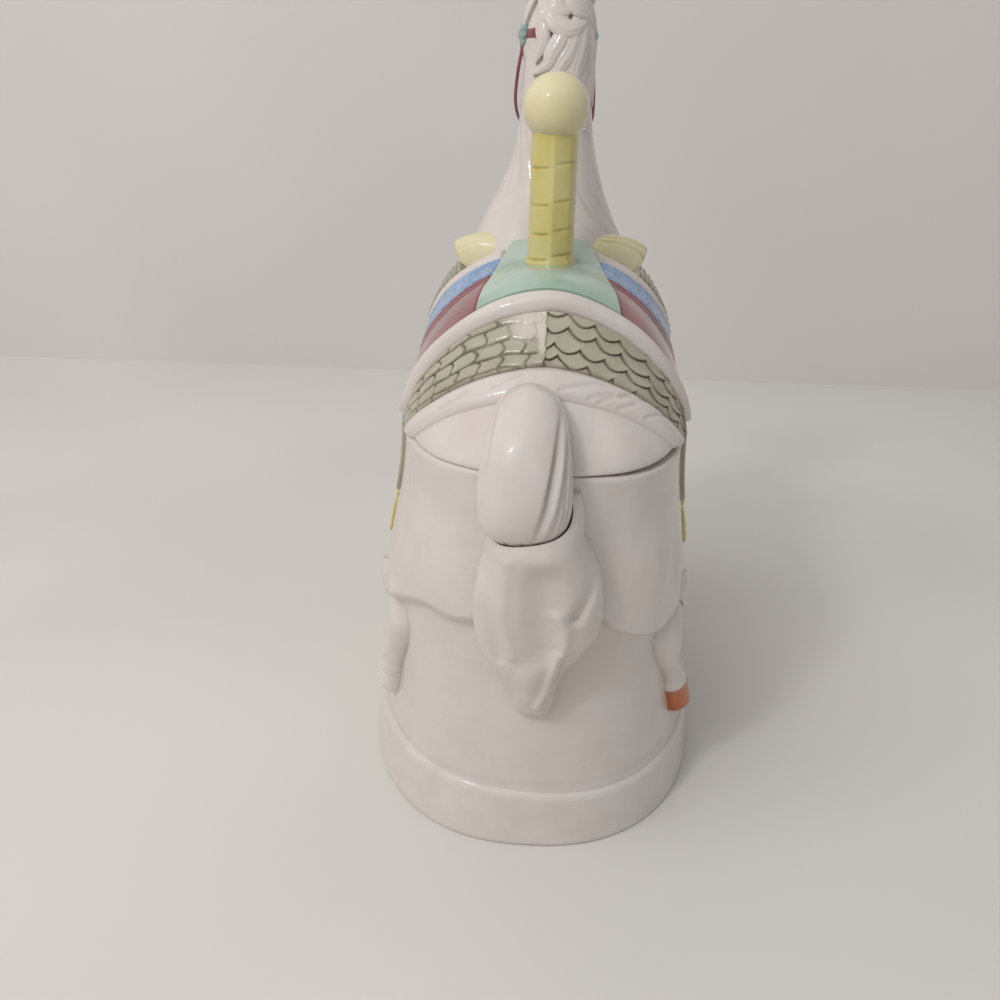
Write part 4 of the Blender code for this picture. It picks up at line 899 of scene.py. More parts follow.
# %% Lid shell
def section_places():
    """Places of the sections, closer together at both ends, as -cos of an even angle."""
    sweep = RIM_HALF[1] * np.cos(np.linspace(0, math.radians(36), 14))
    return np.concatenate([-sweep, np.linspace(-sweep[-1], sweep[-1], 150)[1:-1], sweep[::-1]])


def lid_loop(places, inset, height):
    """A level loop with a point for each section on either side."""
    rims = leaned(places, 0.0)
    across, lengthwise = ((half - inset) / half for half in RIM_HALF)
    right = stack(across * lid_half_width(rims), lengthwise * rims, height)
    left = right[-2:0:-1] * np.array([-1, 1, 1])
    return np.concatenate([right, left])[None]


def rump_relief(points):
    """Soft modelling of the back: a dent on either side of the tail, and slight waves."""
    x, y, z = np.moveaxis(points, -1, 0)
    dents = -1.5 * bump((np.abs(x + 5) - 24) / 12) * bump((y + 92) / 14)
    return dents + 0.3 * wave(x / 13 + y / 17, x / 9 - y / 21 + 2) * eased((z - SEAM) / 9)


FLANGE, FLANGE_DEPTH = 4, 7.6


def lid_shell_mesh():
    """Outside, bearing face and flange, and the inside, a wall's thickness in."""
    bottom = SEAM + GAP
    places = section_places()
    climb = np.linspace(0, np.pi, 150)[None, :]
    plain = lid(places[:, None], climb)
    rise = plain[..., 2] - bottom
    rounded = -0.9 * (1 - pillow(rise, 1.6))
    outside = lid(places[:, None], climb, rounded + rump_relief(plain))
    inset = WALL + 1.2
    low = bottom - FLANGE_DEPTH
    loops = [np.concatenate([outside[:, 0], outside[-2:0:-1, -1]])[None]]
    loops += [lid_loop(places, *ring) for ring in (
        (inset - 1, bottom), (inset, bottom - 1), (inset, low), (inset + 0.7, low - 0.7),
        (inset + FLANGE - 0.7, low - 0.7), (inset + FLANGE, low), (inset + FLANGE, bottom + WALL))]
    across, lengthwise = ((half - inset - FLANGE) / half for half in RIM_HALF)
    inner_rise = np.maximum(rise * lengthwise - WALL * np.sin(climb), 0)
    inside = stack(across * plain[..., 0], lengthwise * plain[..., 1], bottom + WALL + inner_rise)
    loops = sheet(np.concatenate(loops), True)
    return grid_mesh("lid_shell", [sheet(outside), loops, sheet(inside)])


def bore_mesh():
    """The neck's hollow: the neck's rings a wall in, straight down below their widest."""
    rise = np.array([-2.0, 20, 45, 66, 80, 95, 110, 124, 134])[:, None]
    turn = full_turn(60)
    rings = neck(turn, np.maximum(rise, 66), -WALL)
    rings[..., 2] = SEAM + rise
    return grid_mesh("bore", [tube(rings)])


lid_shell = cut(lid_shell_mesh(), bore_mesh())
piece("cast_lid_shell", lid_shell, WHITE, "lid", "white_glaze", "lid_shell")
print("lid shell cut for the neck's bore")

# %% [markdown]
# ## The trappings
# Blanket, saddle and fringe lie on the back as low panels. Each is a grid between a rear and a
# front edge that may lean forward, raised along the surface's normal, with rounded borders that
# sink into the back so that neighbours meet in a soft groove. A function gives each panel its
# relief and wash: strokes carved with a tool, scales, rolls, brush lines.

# %% Panels on the back
MILLIMETRES_PER_RADIAN = 62


def panel(edges, leans, reach, relief, width, rows, columns, radius=1.6, sunk=0.8, ends=1.6):
    """A panel's grids. relief(share, along, up) gives its lift in millimetres, wash and bare."""
    share, part = np.linspace(0, 1, rows)[:, None], np.linspace(0, 1, columns)[None, :]
    first, last = reach(share)
    climb = first + (last - first) * part
    slack = 1 - np.sin(climb)
    rear = edges[0] + leans[0] * slack - 0.15
    front = edges[1] + leans[1] * slack + 0.15
    y = rear + (front - rear) * share
    along = (np.pi / 2 - climb) * MILLIMETRES_PER_RADIAN
    lift, wash, bare = relief(share, along, share * width)
    border = pillow(np.minimum(share, 1 - share) * width, radius)
    from_end = np.minimum(part, 1 - part) * (last - first) * MILLIMETRES_PER_RADIAN
    border = border * pillow(from_end, ends)
    outer = lid(y, climb, -sunk + (lift + sunk) * border)
    return closed_panel(outer, lid(y, climb, -1.6 + 0 * share), wash=wash, bare=bare)


def seam_to_seam(share):
    """Climb of a panel's right and left end, from the lid's edge over to its other edge."""
    return 0.015 + 0 * share, np.pi - 0.015 + 0 * share


def seat_edge(y):
    """Climb at the seat's edge, from 58.5 degrees at the cantle to 75 at the withers."""
    return np.radians(58.5 + 16.5 * (y - CANTLE_FRONT) / (SEAT_FRONT - CANTLE_FRONT))


HEM_STROKES = (
    ((10, 4), (34, 12)), ((27, 3), (38, 8)), ((32, 2), (47, 12)), ((43, 2), (50, 7)),
    ((42, 8), (56, 14)), ((58, 3), (69, 13)), ((-30, 7), (-14, 11)), ((-60, 5), (-44, 8)))


def hem_relief(share, along, up):
    """A round fold, with tool strokes carved slantwise on its right half."""
    lift = 1.5 + 1.5 * np.sin(np.pi * share) ** 0.8 + 0.35 * wave(along / 7, along / 11 + up / 3)
    carved = sum(stroke(along, up, line, 1.9) for line in HEM_STROKES)
    return lift - 0.5 * carved, 0.16 * carved, 0 * lift


def scale_relief(share, along, up):
    """Rounded tiles to the right of the mould's seam, brick-like ones to the left."""
    right_lift, right_wash = scales(along - 0.35 * up, up + 0.10 * along, 13.5, TILE_HEIGHT,
                                    0.58, 1.35, 0.4)
    right_wash = right_wash * (1 - 0.7 * eased((up - 9) / 7) * bump((along - 12) / 26))
    left_lift, left_wash = bricks(along - 0.25 * up, up + 0.04 * along, 11.8, TILE_HEIGHT, 2.0)
    left = along < -0.6
    relief, wash = np.where(left, left_lift, right_lift), np.where(left, left_wash, right_wash)
    relief = relief + 0.6 * left * bump((along + 1) / 9)
    clean = bump((along + 12) / 13) * eased((up - 10) / 6)
    clean = np.clip(clean + bump((along + 4) / 4) * eased((up - 4) / 3), 0, 1) * left
    seam = bump((along + 0.6) / 0.7)
    rubbed = 0.6 + 0.4 * wave(along / 9 + 1, up / 3 + along / 23)
    wash = np.clip(0.80 * wash * (0.62 + 0.5 * rubbed) * (1 - clean), 0, 1) + 0.35 * seam
    return 1.2 + 1.0 * relief * (1 - 0.6 * clean), wash, 0.6 * clean


def cantle_relief(share, along, up):
    """A round rim, 2 mm at its edges and 5 mm in its middle, scraped a little flat in places."""
    lift = 1.8 + 2.7 * np.sin(np.pi * np.clip(share, 0, 1)) ** 0.75
    return lift + 0.28 * wave(along / 5.5, along / 9 + up / 3), 0 * lift, 0 * lift


def seat_relief(share, along, up):
    """Dished, with painted shade: a darker green round the pole's foot and along the cantle."""
    dish = 2.9 - 1.3 * np.sin(np.pi * share) ** 2 * np.cos(np.clip(along / 34, -1.5, 1.5))
    y = CANTLE_FRONT + (SEAT_FRONT - CANTLE_FRONT) * share
    from_pole = np.hypot(y - POLE_Y, along)
    # Painted shade at the pole's foot, uneven as a brush wash leaves it.
    pole_foot_shade = 0.95 * eased(1 - (from_pole - 8) / 22) * eased((POLE_Y + 8 - y) / 9)
    pole_foot_shade = pole_foot_shade * (0.75 + 0.4 * wave(along / 4, y / 5 + along / 9))
    # Painted shade along the seat's rear edge, at the foot of the cantle.
    edge = 0.55 * bump((y - CANTLE_FRONT - 3) / 7) * (0.6 + 0.4 * wave(along / 8))
    return dish, np.clip(pole_foot_shade + edge, 0, 1), 0 * dish


def skirt_relief(share, along, up):
    """Leather flap with two tooled lines along its front edge and a thin edge wash."""
    line = bump((share - 0.78) / 0.05) + bump((share - 0.9) / 0.045)
    lift = 1.9 - 0.5 * line + 0.15 * wave(along / 6, up / 5)
    wash = 0.75 * line + 0.3 * bump(share / 0.14)
    return lift, wash + 0.25 * eased(wave(along / 2.3, up / 3 + along / 7)), 0 * lift


def blue_relief(share, along, up):
    """A woven band: fine stipple, with a raised cord along each edge."""
    cord = bump((share - 0.08) / 0.09) + bump((share - 0.92) / 0.09)
    lift = 1.5 + 0.4 * cord + 0.16 * np.sin(along / 0.62) * np.sin(up / 0.62)
    return lift, 0.4 * eased(wave(along / 1.1, up / 1.3, along / 3 + up / 2)), 0 * lift


def piping_relief(share, along, up):
    """A white roll along the blanket's front, flattened, with soft dents."""
    lift = 1.7 + 1.2 * np.sin(np.pi * share) + 0.3 * wave(along / 5, along / 8 + 1)
    return lift, 0 * lift, 0 * lift


def fringe_relief(share, along, up):
    """Threads: narrow ridges along the horse that wander a little."""
    thread = np.sin(along / 0.55 + 1.2 * wave(up / 2.5, up / 4 + along / 9))
    return 3.2 + 0.35 * thread, 0.25 + 0.6 * eased(-thread), 0 * thread


ROLL_REACH = 49, 74


def roll_relief(share, along, up):
    """A stuffed roll, 11 mm high at its lower end, with three folds that hold brown wash."""
    low, high = np.radians(ROLL_REACH)
    slide = (np.pi / 2 - np.abs(along) / MILLIMETRES_PER_RADIAN - low) / (high - low)
    fold = sum(bump((share - place - 0.16 * slide + 0.1 * slide ** 2) / 0.055)
               for place in (0.2, 0.36, 0.53))
    swollen = 2.5 + 7.5 * eased(1.1 - slide)
    lift = 1.2 + swollen * np.sin(np.pi * np.clip(share, 0, 1)) ** 0.8 - 0.45 * fold
    lift = lift + 0.2 * wave(along / 4, up / 5)
    right = along > 0
    wash = (0.10 + 0.55 * right) * fold * (0.7 + 0.3 * wave(along / 3))
    return lift, wash, 0 * lift


OVER = (0.0, 0.0)
SEAT_LENGTH = 76
LOW_EDGE = 12


def seat_reach(share):
    """Climb of the seat's right and left edge."""
    edge = seat_edge(CANTLE_FRONT + SEAT_LENGTH * share)
    return edge, np.pi - edge


def up_side(side, first, last):
    """Climb from first to last on the right (1), or mirrored on the left (-1)."""
    return (first, last) if side > 0 else (np.pi - last, np.pi - first)


def plain_reach(side, low, high):
    """A reach on one side from low to high degrees."""
    return lambda share: up_side(side, *(math.radians(end) + 0 * share for end in (low, high)))


def flank_reach(side, edges, leans):
    """A reach on one side that ends where its leaning panel meets the seat."""
    def reach(share):
        """Climb of the panel's low end and of its end at the seat."""
        y = edges[0] + (edges[1] - edges[0]) * share
        lean = leans[0] + (leans[1] - leans[0]) * share
        top = seat_edge(y + lean * (1 - np.sin(seat_edge(y))))
        return up_side(side, math.radians(LOW_EDGE) + 0 * share, top + 0.004)
    return reach


# name, edges, relief, glaze, slot, then width in millimetres, rows, columns, border's radius
ACROSS = (
    ("blanket_hem", (HEM_REAR, HEM_FRONT), hem_relief, WHITE, "white_glaze", (15, 26, 260, 4.5)),
    ("scale_blanket", (HEM_FRONT, SCALES_FRONT), scale_relief, GREY_GREEN, "scale_glaze",
     (25, 110, 560, 2.0)),
    ("cantle_rim", (SCALES_FRONT, CANTLE_FRONT), cantle_relief, WHITE, "white_glaze",
     (10, 28, 260, 3.4)))
for name, edges, relief, material, slot, sizes in ACROSS:
    grids = panel(edges, OVER, seam_to_seam, relief, *sizes)
    piece(f"cast_{name}", grid_mesh(name, grids), material, "lid", slot, name, sharp=60)

seat = panel((CANTLE_FRONT, SEAT_FRONT + 4), OVER, seat_reach, seat_relief, SEAT_LENGTH, 120, 110,
             radius=1.2, sunk=0.2)
piece("cast_saddle_seat", grid_mesh("seat", seat), MINT, "lid", "mint_glaze", "saddle_seat")

# name, edges, lean of each edge, relief, glaze, slot, rows
FLANK = (
    ("saddle_skirt", (CANTLE_FRONT, SKIRT_FRONT), (0, 20), skirt_relief, BURGUNDY, "rose_glaze",
     90),
    ("blanket_band", (SKIRT_FRONT, BLUE_FRONT), (20, 24), blue_relief, BLUE, "blue_glaze", 70),
    ("blanket_piping", (BLUE_FRONT, PIPING_FRONT - 6), (24, 12), piping_relief, WHITE,
     "white_glaze", 40))
for prefix, side in SIDES:
    for kind, edges, leans, relief, material, slot, rows in FLANK:
        grids = panel(edges, leans, flank_reach(side, edges, leans), relief, edges[1] - edges[0],
                      rows, 110, radius=1.2, sunk=0.3, ends=1.2)
        name = f"{prefix}_{kind}"
        piece(f"cast_{name}", grid_mesh(name, grids), material, "lid", slot, name, sharp=60)
    fringe = panel((PIPING_FRONT - 6, FRINGE_FRONT), (12, 10), plain_reach(side, LOW_EDGE, 51),
                   fringe_relief, 10, 24, 260, radius=1.4, sunk=0.6)
    piece(f"cast_{prefix}_blanket_fringe", grid_mesh(f"{prefix}_fringe", fringe), GREY_GREEN, "lid",
          "scale_glaze", f"{prefix}_blanket_fringe", sharp=60)
    roll = panel((PIPING_FRONT + 0.3, PIPING_FRONT + 21.3), (12, 0), plain_reach(side, *ROLL_REACH),
                 roll_relief, 24, 60, 120, radius=5, sunk=1.0, ends=3.5)
    piece(f"cast_{prefix}_shoulder_roll", grid_mesh(f"{prefix}_roll", roll), CREAM, "lid",
          "cream_glaze", f"{prefix}_shoulder_roll", sharp=70)
print("panels laid on the back")

# %% [markdown]
# ## Pole, ball and the lid's tail
# The pole is turned and then pared into eight soft facets, with slanting cuts between them that
# hold the darker yellow. The ball is plain, with painted shade darkening its lower part. The tail
# is one thick lock: a tube along a curve over the rump, with hair grooves that run down its right
# side and gather at the tip.

# %% Pole and ball
POLE_CUTS = 274.0, 259.0, 247.2, 236.6


def pole_grid():
    """r = R (1 - k + k cos(pi / 8) / cos(a)), a the angle from a facet's middle, less the cuts."""
    turn = full_turn(160)
    height = np.linspace(SEAM + 50, SEAM + BALL_RISE - 8, 190)[:, None]
    facet = np.pi / 4
    from_middle = np.mod(turn, facet) - facet / 2
    radius = POLE_RADIUS * (0.45 + 0.55 * np.cos(facet / 2) / np.cos(from_middle))
    x = np.sin(turn) * radius
    step = 0.6 * np.sign(x)
    dark = 0.10 + 0.10 * wave(3 * turn + height / 9, 5 * turn - height / 6)
    for level in POLE_CUTS:
        away = height - level - 0.10 * x - step
        ridge = 1 - 0.9 * bump(np.sin(turn / 2) / 0.16) * (np.cos(turn) > 0)
        radius = radius - 0.38 * bump(away / 1.0) * ridge
        dark = dark + 0.85 * bump(away / 1.1) * ridge * (0.7 + 0.3 * np.sin(3 * turn + level))
    radius = radius + 1.2 * eased((238 - height) / 6)
    return stack(np.sin(turn) * radius, POLE_Y - np.cos(turn) * radius, height + 0 * turn), dark


pole_points, pole_wash = pole_grid()
pole = grid_mesh("pole", [tube(pole_points, wash=np.clip(pole_wash, 0, 1))])
piece("cast_saddle_pole", pole, YELLOW, "lid", "yellow_glaze", "saddle_pole", sharp=70)

ball_turn, ball_tilt = np.meshgrid(full_turn(96), np.linspace(0, np.pi, 64))
ball_radius = BALL_RADIUS * (1 + 0.006 * wave(2 * ball_turn + 1, 3 * ball_tilt))
ball_points = stack(ball_radius * np.sin(ball_tilt) * np.sin(ball_turn),
                    POLE_Y - ball_radius * np.sin(ball_tilt) * np.cos(ball_turn),
                    SEAM + BALL_RISE + ball_radius * np.cos(ball_tilt))
# Painted shade: the wash darkens the ball's lower part, which faces away from the light.
ball_painted_shade = 0.25 * eased((ball_tilt - 1.9) / 0.9)
piece("cast_pole_ball", grid_mesh("ball", [sheet(ball_points, True, wash=ball_painted_shade)]), CREAM, "lid",
      "cream_glaze", "pole_ball")


# %% The lid's tail
def hair(turn, share):
    """Grooves by the angle round the lock: one deep and slanting, the rest fine."""
    degrees = np.degrees(np.arctan2(np.sin(turn), np.cos(turn)))
    slanted = degrees - 80 * (share - 0.4)
    deep = bump((slanted - 42) / 9) * bump((share - 0.56) / 0.34)
    fine = sum(bump((degrees - 36 * (share - 0.5) - at) / 5) * bump((share - middle) / 0.3)
               for at, middle in ((-18, .6), (-6, .68), (6, .55), (17, .7), (27, .6)))
    left = bump((degrees - 150) / 12) * bump((share - 0.42) / 0.28)
    second = bump((slanted - 22) / 7) * bump((share - 0.6) / 0.3)
    tip = eased((share - 0.8) / 0.1) * (bump((degrees - 122) / 7) + bump((degrees - 92) / 6)
                                        + bump((degrees - 66) / 6))
    ridge = bump((slanted - 32) / 6) * bump((share - 0.58) / 0.34)
    return deep, fine, left, second, tip, ridge


def hair_shape(turn, share):
    """The lock's ring as a share of its plain radius."""
    deep, fine, left, second, tip, ridge = hair(turn, share)
    return 1 - 0.15 * deep - 0.05 * fine - 0.05 * left - 0.06 * second - 0.045 * tip + 0.03 * ridge


def upper_tail_grid():
    """The lock's rings, kept outside the jar with a clearance where they hang over its rim."""
    rings = upper_tail_rings(130, 160, shape=hair_shape)
    outside = rear_y(np.clip(rings[..., 0], -50, 50), np.minimum(rings[..., 2], SEAM))
    outside = outside - TAIL_CLEARANCE
    below = rings[..., 2] < SEAM + 0.6
    rings[..., 1] = np.where(below, np.minimum(rings[..., 1], outside), rings[..., 1])
    turn = full_turn(160)
    deep, fine, left, second, tip, _ = hair(turn, np.linspace(0, 1, 130)[:, None])
    return rings, np.clip(0.40 * deep + 0.25 * fine + 0.1 * left + 0.25 * second + 0.12 * tip, 0, 1)


tail_points, tail_wash = upper_tail_grid()
piece("cast_upper_tail", grid_mesh("upper_tail", [tube(tail_points, wash=tail_wash)]), WHITE, "lid",
      "white_glaze", "upper_tail", sharp=60)
print("upper tail's lowest point, mm:", round(float(tail_points[..., 2].min()), 1))

# %% [markdown]
# ## Neck, head and shoulders
# The neck was modelled in one piece with the back, so it has no seam there. Two lofts, the neck
# and the head, and a cap that lies on the shoulders are joined by remeshing them as one volume
# and smoothing it, the way a modeller's thumb would. The face's features are then pushed in or
# out along the surface: eye sockets, nostrils, mouth, cheek, and the brushed strokes of the coat.

# %% Neck, head and shoulders
def shoulder_cap():
    """A cap on the lid's front that sinks into it at its borders."""
    share, part = np.linspace(0, 1, 60)[:, None], np.linspace(0, 1, 120)[None, :]
    y, climb = 30 + 70 * share + 0 * part, np.radians(10 + 160 * part) + 0 * share
    edge = np.minimum(np.minimum(share, 1 - share) * 70, np.minimum(part, 1 - part) * 170)
    lift = -2.2 + 2.7 * eased(edge / 16)
    return closed_panel(lid(y, climb, lift), lid(y, climb, -4.5 + 0 * lift))


def neck_volume():
    """The lofts of neck and head and the cap, still apart."""
    turn = full_turn(120)
    rise = np.linspace(14, 171, 130)[:, None]
    distance = np.concatenate([np.linspace(0, 4, 6), np.linspace(5, 76, 60), [77.5, 79, 80]])
    distance = distance[:, None]
    lofts = [tube(neck(turn, rise)), tube(face(turn, distance + 0 * turn))]
    return grid_mesh("volume", lofts + shoulder_cap())


def face_frame(places):
    """Distance down the face, height over its line, and place across."""
    from_poll = places - POLL
    return from_poll @ FACE_ONWARD, from_poll @ FACE_UPWARD, places[:, 0]


# Distance down the face from the poll, and under its line
EYE, CHEEK, NOSTRIL = (27, 9.5), (22, 25), (71.5, 6.5)


def face_relief(places):
    """Bumps and hollows of the head, in millimetres along the normal."""
    down, up, x = face_frame(places)
    side = np.abs(x)
    on_head = eased((places[:, 1] - 66) / 8) * eased((places[:, 2] - 268) / 12)
    eye, cheek, nostril = (
        np.hypot((down - middle) / stretch, up + under)
        for (middle, under), stretch in ((EYE, 1.25), (CHEEK, 1), (NOSTRIL, 1.2)))
    relief = -1.6 * bump((eye - 5.6) / 2.6) + 1.5 * bump(eye / 5.0)
    relief += 1.1 * bump((eye - 8.6) / 2.4) * (up > -9)
    relief += 1.5 * bump(cheek / 13)
    relief -= 0.9 * bump((cheek - 13.5) / 3)
    relief -= 2.0 * bump(nostril / 2.6)
    relief += 0.8 * bump((nostril - 3.4) / 1.6)
    mouth = up + 13.2 + 0.02 * (down - 58) ** 2 * (down < 62)
    relief -= 1.1 * bump(mouth / 1.3) * eased((down - 57) / 5)
    relief += 0.7 * bump((side - 4.5) / 2.6) * bump((down - 48) / 22) * (up > -6)
    relief = relief * eased((side - 2.5) / 2)
    relief -= 0.6 * bump(side / 3.5) * bump((down - 46) / 20) * (up > -6)
    return relief * on_head


def coat_relief(places):
    """Brushed strokes on the neck: thin ridges that run down and outward, in loose groups."""
    x, y, rise = places[:, 0], places[:, 1], places[:, 2] - SEAM
    turn = np.arctan2(x, -(y - 58)) * 20
    lines = np.sin((turn * 0.9 + rise * 0.42 + 2.2 * wave(rise / 9, turn / 7)) * 1.15)
    groups = eased(wave(rise / 11 + turn / 19, turn / 9 - rise / 23 + 2) * 1.5 + 0.1)
    band = eased((rise - 50) / 14) * eased((158 - rise) / 14)
    return 0.5 * eased(lines - 0.1) * groups * band


def neck_mesh():
    """Neck and head in one skin, with their relief, the coat's strokes and the bore."""
    joined = through_modifiers(
        neck_volume(),
        ("REMESH", {"mode": "VOXEL", "voxel_size": 0.95 * MM}),
        ("SMOOTH", {"factor": 0.5, "iterations": 14}))
    places, normals = points_of(joined)
    strokes = coat_relief(places)
    fuller = 3.2 * bump((places[:, 2] - SEAM - 66) / 34) * eased((-places[:, 0] - 4) / 16)
    out = face_relief(places) - strokes + fuller * eased((92 - places[:, 1]) / 20)
    places = places + normals * out[:, None]
    wash = np.clip(0.25 * strokes + 0.18 * np.clip(-out - 0.5, 0, 2), 0, 1)
    return cut(remodel(joined, places, wash=wash), bore_mesh())


piece("cast_neck_and_head", neck_mesh(), WHITE, "lid", "white_glaze", "neck_and_head", sharp=75)

EYE_RADIUS = 4.1
for prefix, side in SIDES:
    tilt, turn = np.linspace(0, np.pi, 20)[:, None], full_turn(28)
    middle = POLL + EYE[0] * FACE_ONWARD - EYE[1] * FACE_UPWARD + np.array([side * 14.0, 0, 0])
    ball = EYE_RADIUS * stack(0.75 * side * np.cos(tilt), np.sin(tilt) * np.cos(turn),
                              np.sin(tilt) * np.sin(turn))
    piece(f"cast_{prefix}_eye", grid_mesh(f"{prefix}_eye", [sheet(middle + ball, True)]), BLACK,
          "lid", "brown_glaze")
print("neck, head and eyes")

# %% [markdown]
# ## Mane and forelock
# The mane was modelled in low relief: broad flat locks that sweep over the crest in S lines and
# lie on each other like leaves. It is one grid over the neck. Each lock raises a lens along its
# centre line, and where locks cross, the higher one wins, which leaves the creases between them.

# %% Mane
ROUND = 17 * math.pi / 180  # millimetres round the neck for each degree
# half width, height over the neck, then its centre line as degrees from the rear and rise
LOCKS = (
    (4.6, 0.0, (50, 150), (55, 140), (52, 128), (44, 110)),
    (4.6, 0.1, (38, 148), (38, 134), (30, 116)), (4.4, 0.0, (22, 146), (16, 134), (18, 118)),
    (4.4, 0.0, (4, 142), (0, 130), (6, 114)), (4.6, 0.0, (70, 154), (74, 140), (70, 120)),
    (4.6, 0.0, (90, 160), (94, 146), (88, 126)),
    (3.6, 0.9, (6, 157), (4, 149), (-8, 142), (-15, 137), (-36, 133)),
    (3.8, 0.8, (30, 155), (22, 145), (6, 137), (-8, 130)),
    (3.9, 0.9, (46, 154), (36, 143), (26, 133), (24, 122)),
    (4.0, 0.7, (60, 157), (57, 145), (50, 132)),
    (3.4, 0.7, (-20, 161), (-28, 153), (-24, 146), (-34, 138)),
    (4.2, 0.5, (82, 162), (84, 150), (78, 136)), (4.0, 0.5, (104, 162), (108, 150), (100, 134)),
    (4.0, 1.5, (-32, 167), (-14, 157), (10, 152), (34, 153), (54, 157)),
    (3.2, 1.4, (-40, 169), (-30, 160), (-33, 150)), (3.6, 1.2, (-60, 169), (-76, 160), (-86, 151)),
    (4.0, 1.7, (8, 171), (26, 162), (50, 158), (72, 150)),
    (4.0, 1.3, (40, 173), (60, 165), (82, 157), (98, 146)),
    (3.8, 1.9, (-10, 174), (-14, 166), (2, 160), (22, 159)),
    (3.6, 1.2, (74, 173), (100, 162), (114, 149)), (3.2, 1.0, (-44, 174), (-62, 166), (-72, 158)))
SUNK, FORELOCKS = -2.0, 5


def lock_height(across, rise, half_width, base, *line):
    """(height, edge) of one lock: a lens over the nearest point of its centre line."""
    place = np.linspace(0, len(line) - 1, 40)
    u, v = (through(values, place) for values in zip(*line))
    u = u * ROUND
    away = np.hypot(across[..., None] - u, rise[..., None] - v)
    nearest = np.argmin(away, axis=-1)
    share = nearest / 39
    width = 1.15 * half_width * np.sin(np.pi * (0.24 + 0.72 * share)) ** 0.8
    onward = np.stack([np.gradient(u), np.gradient(v)])
    onward = (onward / np.linalg.norm(onward, axis=0))[:, nearest]
    side = ((across - u[nearest]) * onward[1] - (rise - v[nearest]) * onward[0]) / width
    apart = np.min(away, axis=-1) / width
    lens = np.sqrt(np.clip(1 - apart ** 2, 0, 1))
    hairs = 0.16 * bump((side - 0.32) / 0.25) + 0.12 * bump((side + 0.28) / 0.2)
    height = base + 2.3 * lens * np.sin(np.pi * (0.3 + 0.62 * share)) ** 0.5 - hairs * (lens > 0.3)
    return np.where(apart < 1, height, SUNK), eased((0.55 - lens) / 0.45)


def mane_grids():
    """The highest lock at each point of the neck wins, as in a mould without undercuts."""
    degrees, rise = np.meshgrid(np.linspace(-104, 128, 330), np.linspace(106, 175, 250))
    height, wash = np.full(rise.shape, SUNK), np.zeros(rise.shape)
    for lock in LOCKS:
        lifted, edge = lock_height(degrees * ROUND, rise, *lock)
        wash = np.where(lifted > height, 0.45 * edge, wash)
        height = np.maximum(height, lifted)
    under = 2.4 * eased((degrees + 22) / 6) * eased((rise - 122) / 12) + SUNK
    wash = np.where(under > height, 0.4, wash)
    height = np.maximum(height, under)
    turn = np.radians(degrees)
    border = eased(np.minimum(degrees + 104, 128 - degrees) / 8) * eased((rise - 106) / 4)
    outer = neck(turn, rise, SUNK + (height - SUNK) * border)
    return closed_panel(outer, neck(turn, rise, -3.2), wash=wash)


def forelock_grids():
    """Loose locks over the brow: tubes of oval rings down the face."""
    draws = np.random.default_rng(5)
    share = np.linspace(0, 1, 26)
    grids = []
    for start in np.linspace(-26, 26, FORELOCKS):
        turn = np.radians(180 + start * (1 + 0.5 * share) + 7 * np.sin(5 * share + start))
        path = face(turn, 1 + draws.uniform(17, 24) * share, 0.3 + 1.8 * np.sin(np.pi * share))
        full = np.sin(np.pi * (0.12 + 0.85 * share)) ** 0.7
        grids.append(tube(path_rings(path, 2.6 * full, 1.7 * full, 12), wash=0.1))
    return grids


piece("cast_mane", grid_mesh("mane", mane_grids() + forelock_grids()), WHITE, "lid", "white_glaze",
      "mane", sharp=75)
print("locks in the mane and forelock:", len(LOCKS) + FORELOCKS)

# %% [markdown]
# ## Ears, rosettes and bridle
# The ears are leaf-shaped and hollow in front. The bridle is painted relief: flat straps round
# the brow, the nose and the crest, a rosette at each end of the browband, and a rein that hangs
# from each rosette.

# %% Ears and bridle
def ear_grid(side):
    """A leaf: half width follows a sine, and the front is drawn in to make the hollow."""
    share = np.linspace(0, 1, 40)[:, None]
    turn = full_turn(48)
    width = 6.2 * np.sin(np.pi * (0.30 + 0.70 * share)) ** 0.8 + 0.3
    drawn_in = bump(turn - 1.5 * np.pi) * np.sin(np.pi * share) ** 0.6
    depth = 0.62 * width * (1 - 0.75 * drawn_in)
    tip = np.array([side * 12.5, 60.0, SEAM + 183.0])
    root = np.array([side * 8.0, 64.5, SEAM + 158.5])
    middle = root + (tip - root) * share[..., None]
    middle = middle + stack(side * 1.2 * np.sin(np.pi * share), 0, 0)
    hollow = 0.35 * bump((turn - 1.5 * np.pi) / 0.9) * np.sin(np.pi * share)
    return middle + stack(width * np.cos(turn), -depth * np.sin(turn), 0), hollow


def rosette_grid(side):
    """A domed disc with eight petals pressed into it."""
    tilt = np.linspace(0, np.pi, 30)[:, None]
    turn = full_turn(64)
    petals = 1 + 0.07 * np.cos(8 * turn) * np.sin(tilt)
    dome = 3.0 + 0.5 * bump(np.sin(tilt) / 0.35) * (tilt < 1.5)
    offset = stack(side * dome * np.cos(tilt), 5.0 * petals * np.sin(tilt) * np.cos(turn),
                   5.0 * petals * np.sin(tilt) * np.sin(turn))
    middle = np.array([side * (15.6 if side < 0 else 14.8), 61.0, SEAM + 149])
    groove = 0.4 * bump((np.sin(tilt) - 0.45) / 0.12) + 0.3 * (np.cos(8 * turn) < -0.6)
    return middle + offset, groove


def strap_grids(surface, across, width):
    """A flat strap: rings of a surface beside each other, raised between two sunk edges."""
    share = np.linspace(-1, 1, 9)[:, None]
    raised = 0.9 * pillow(1 - np.abs(share), 0.5)
    inner = surface(across, share * width / 2, -0.8 + 0 * raised)
    return closed_panel(surface(across, share * width / 2, raised), inner, wash=0.15)


def round_neck(across, shift, lift):
    """The browband's line: round the neck, a little lower at its sides."""
    return neck(across, 149 + shift + 1.5 * np.cos(across) + 0 * across, lift)


def round_face(distance):
    """A level line round the face."""
    return lambda across, shift, lift: face(across, distance + shift + 0 * across, lift)


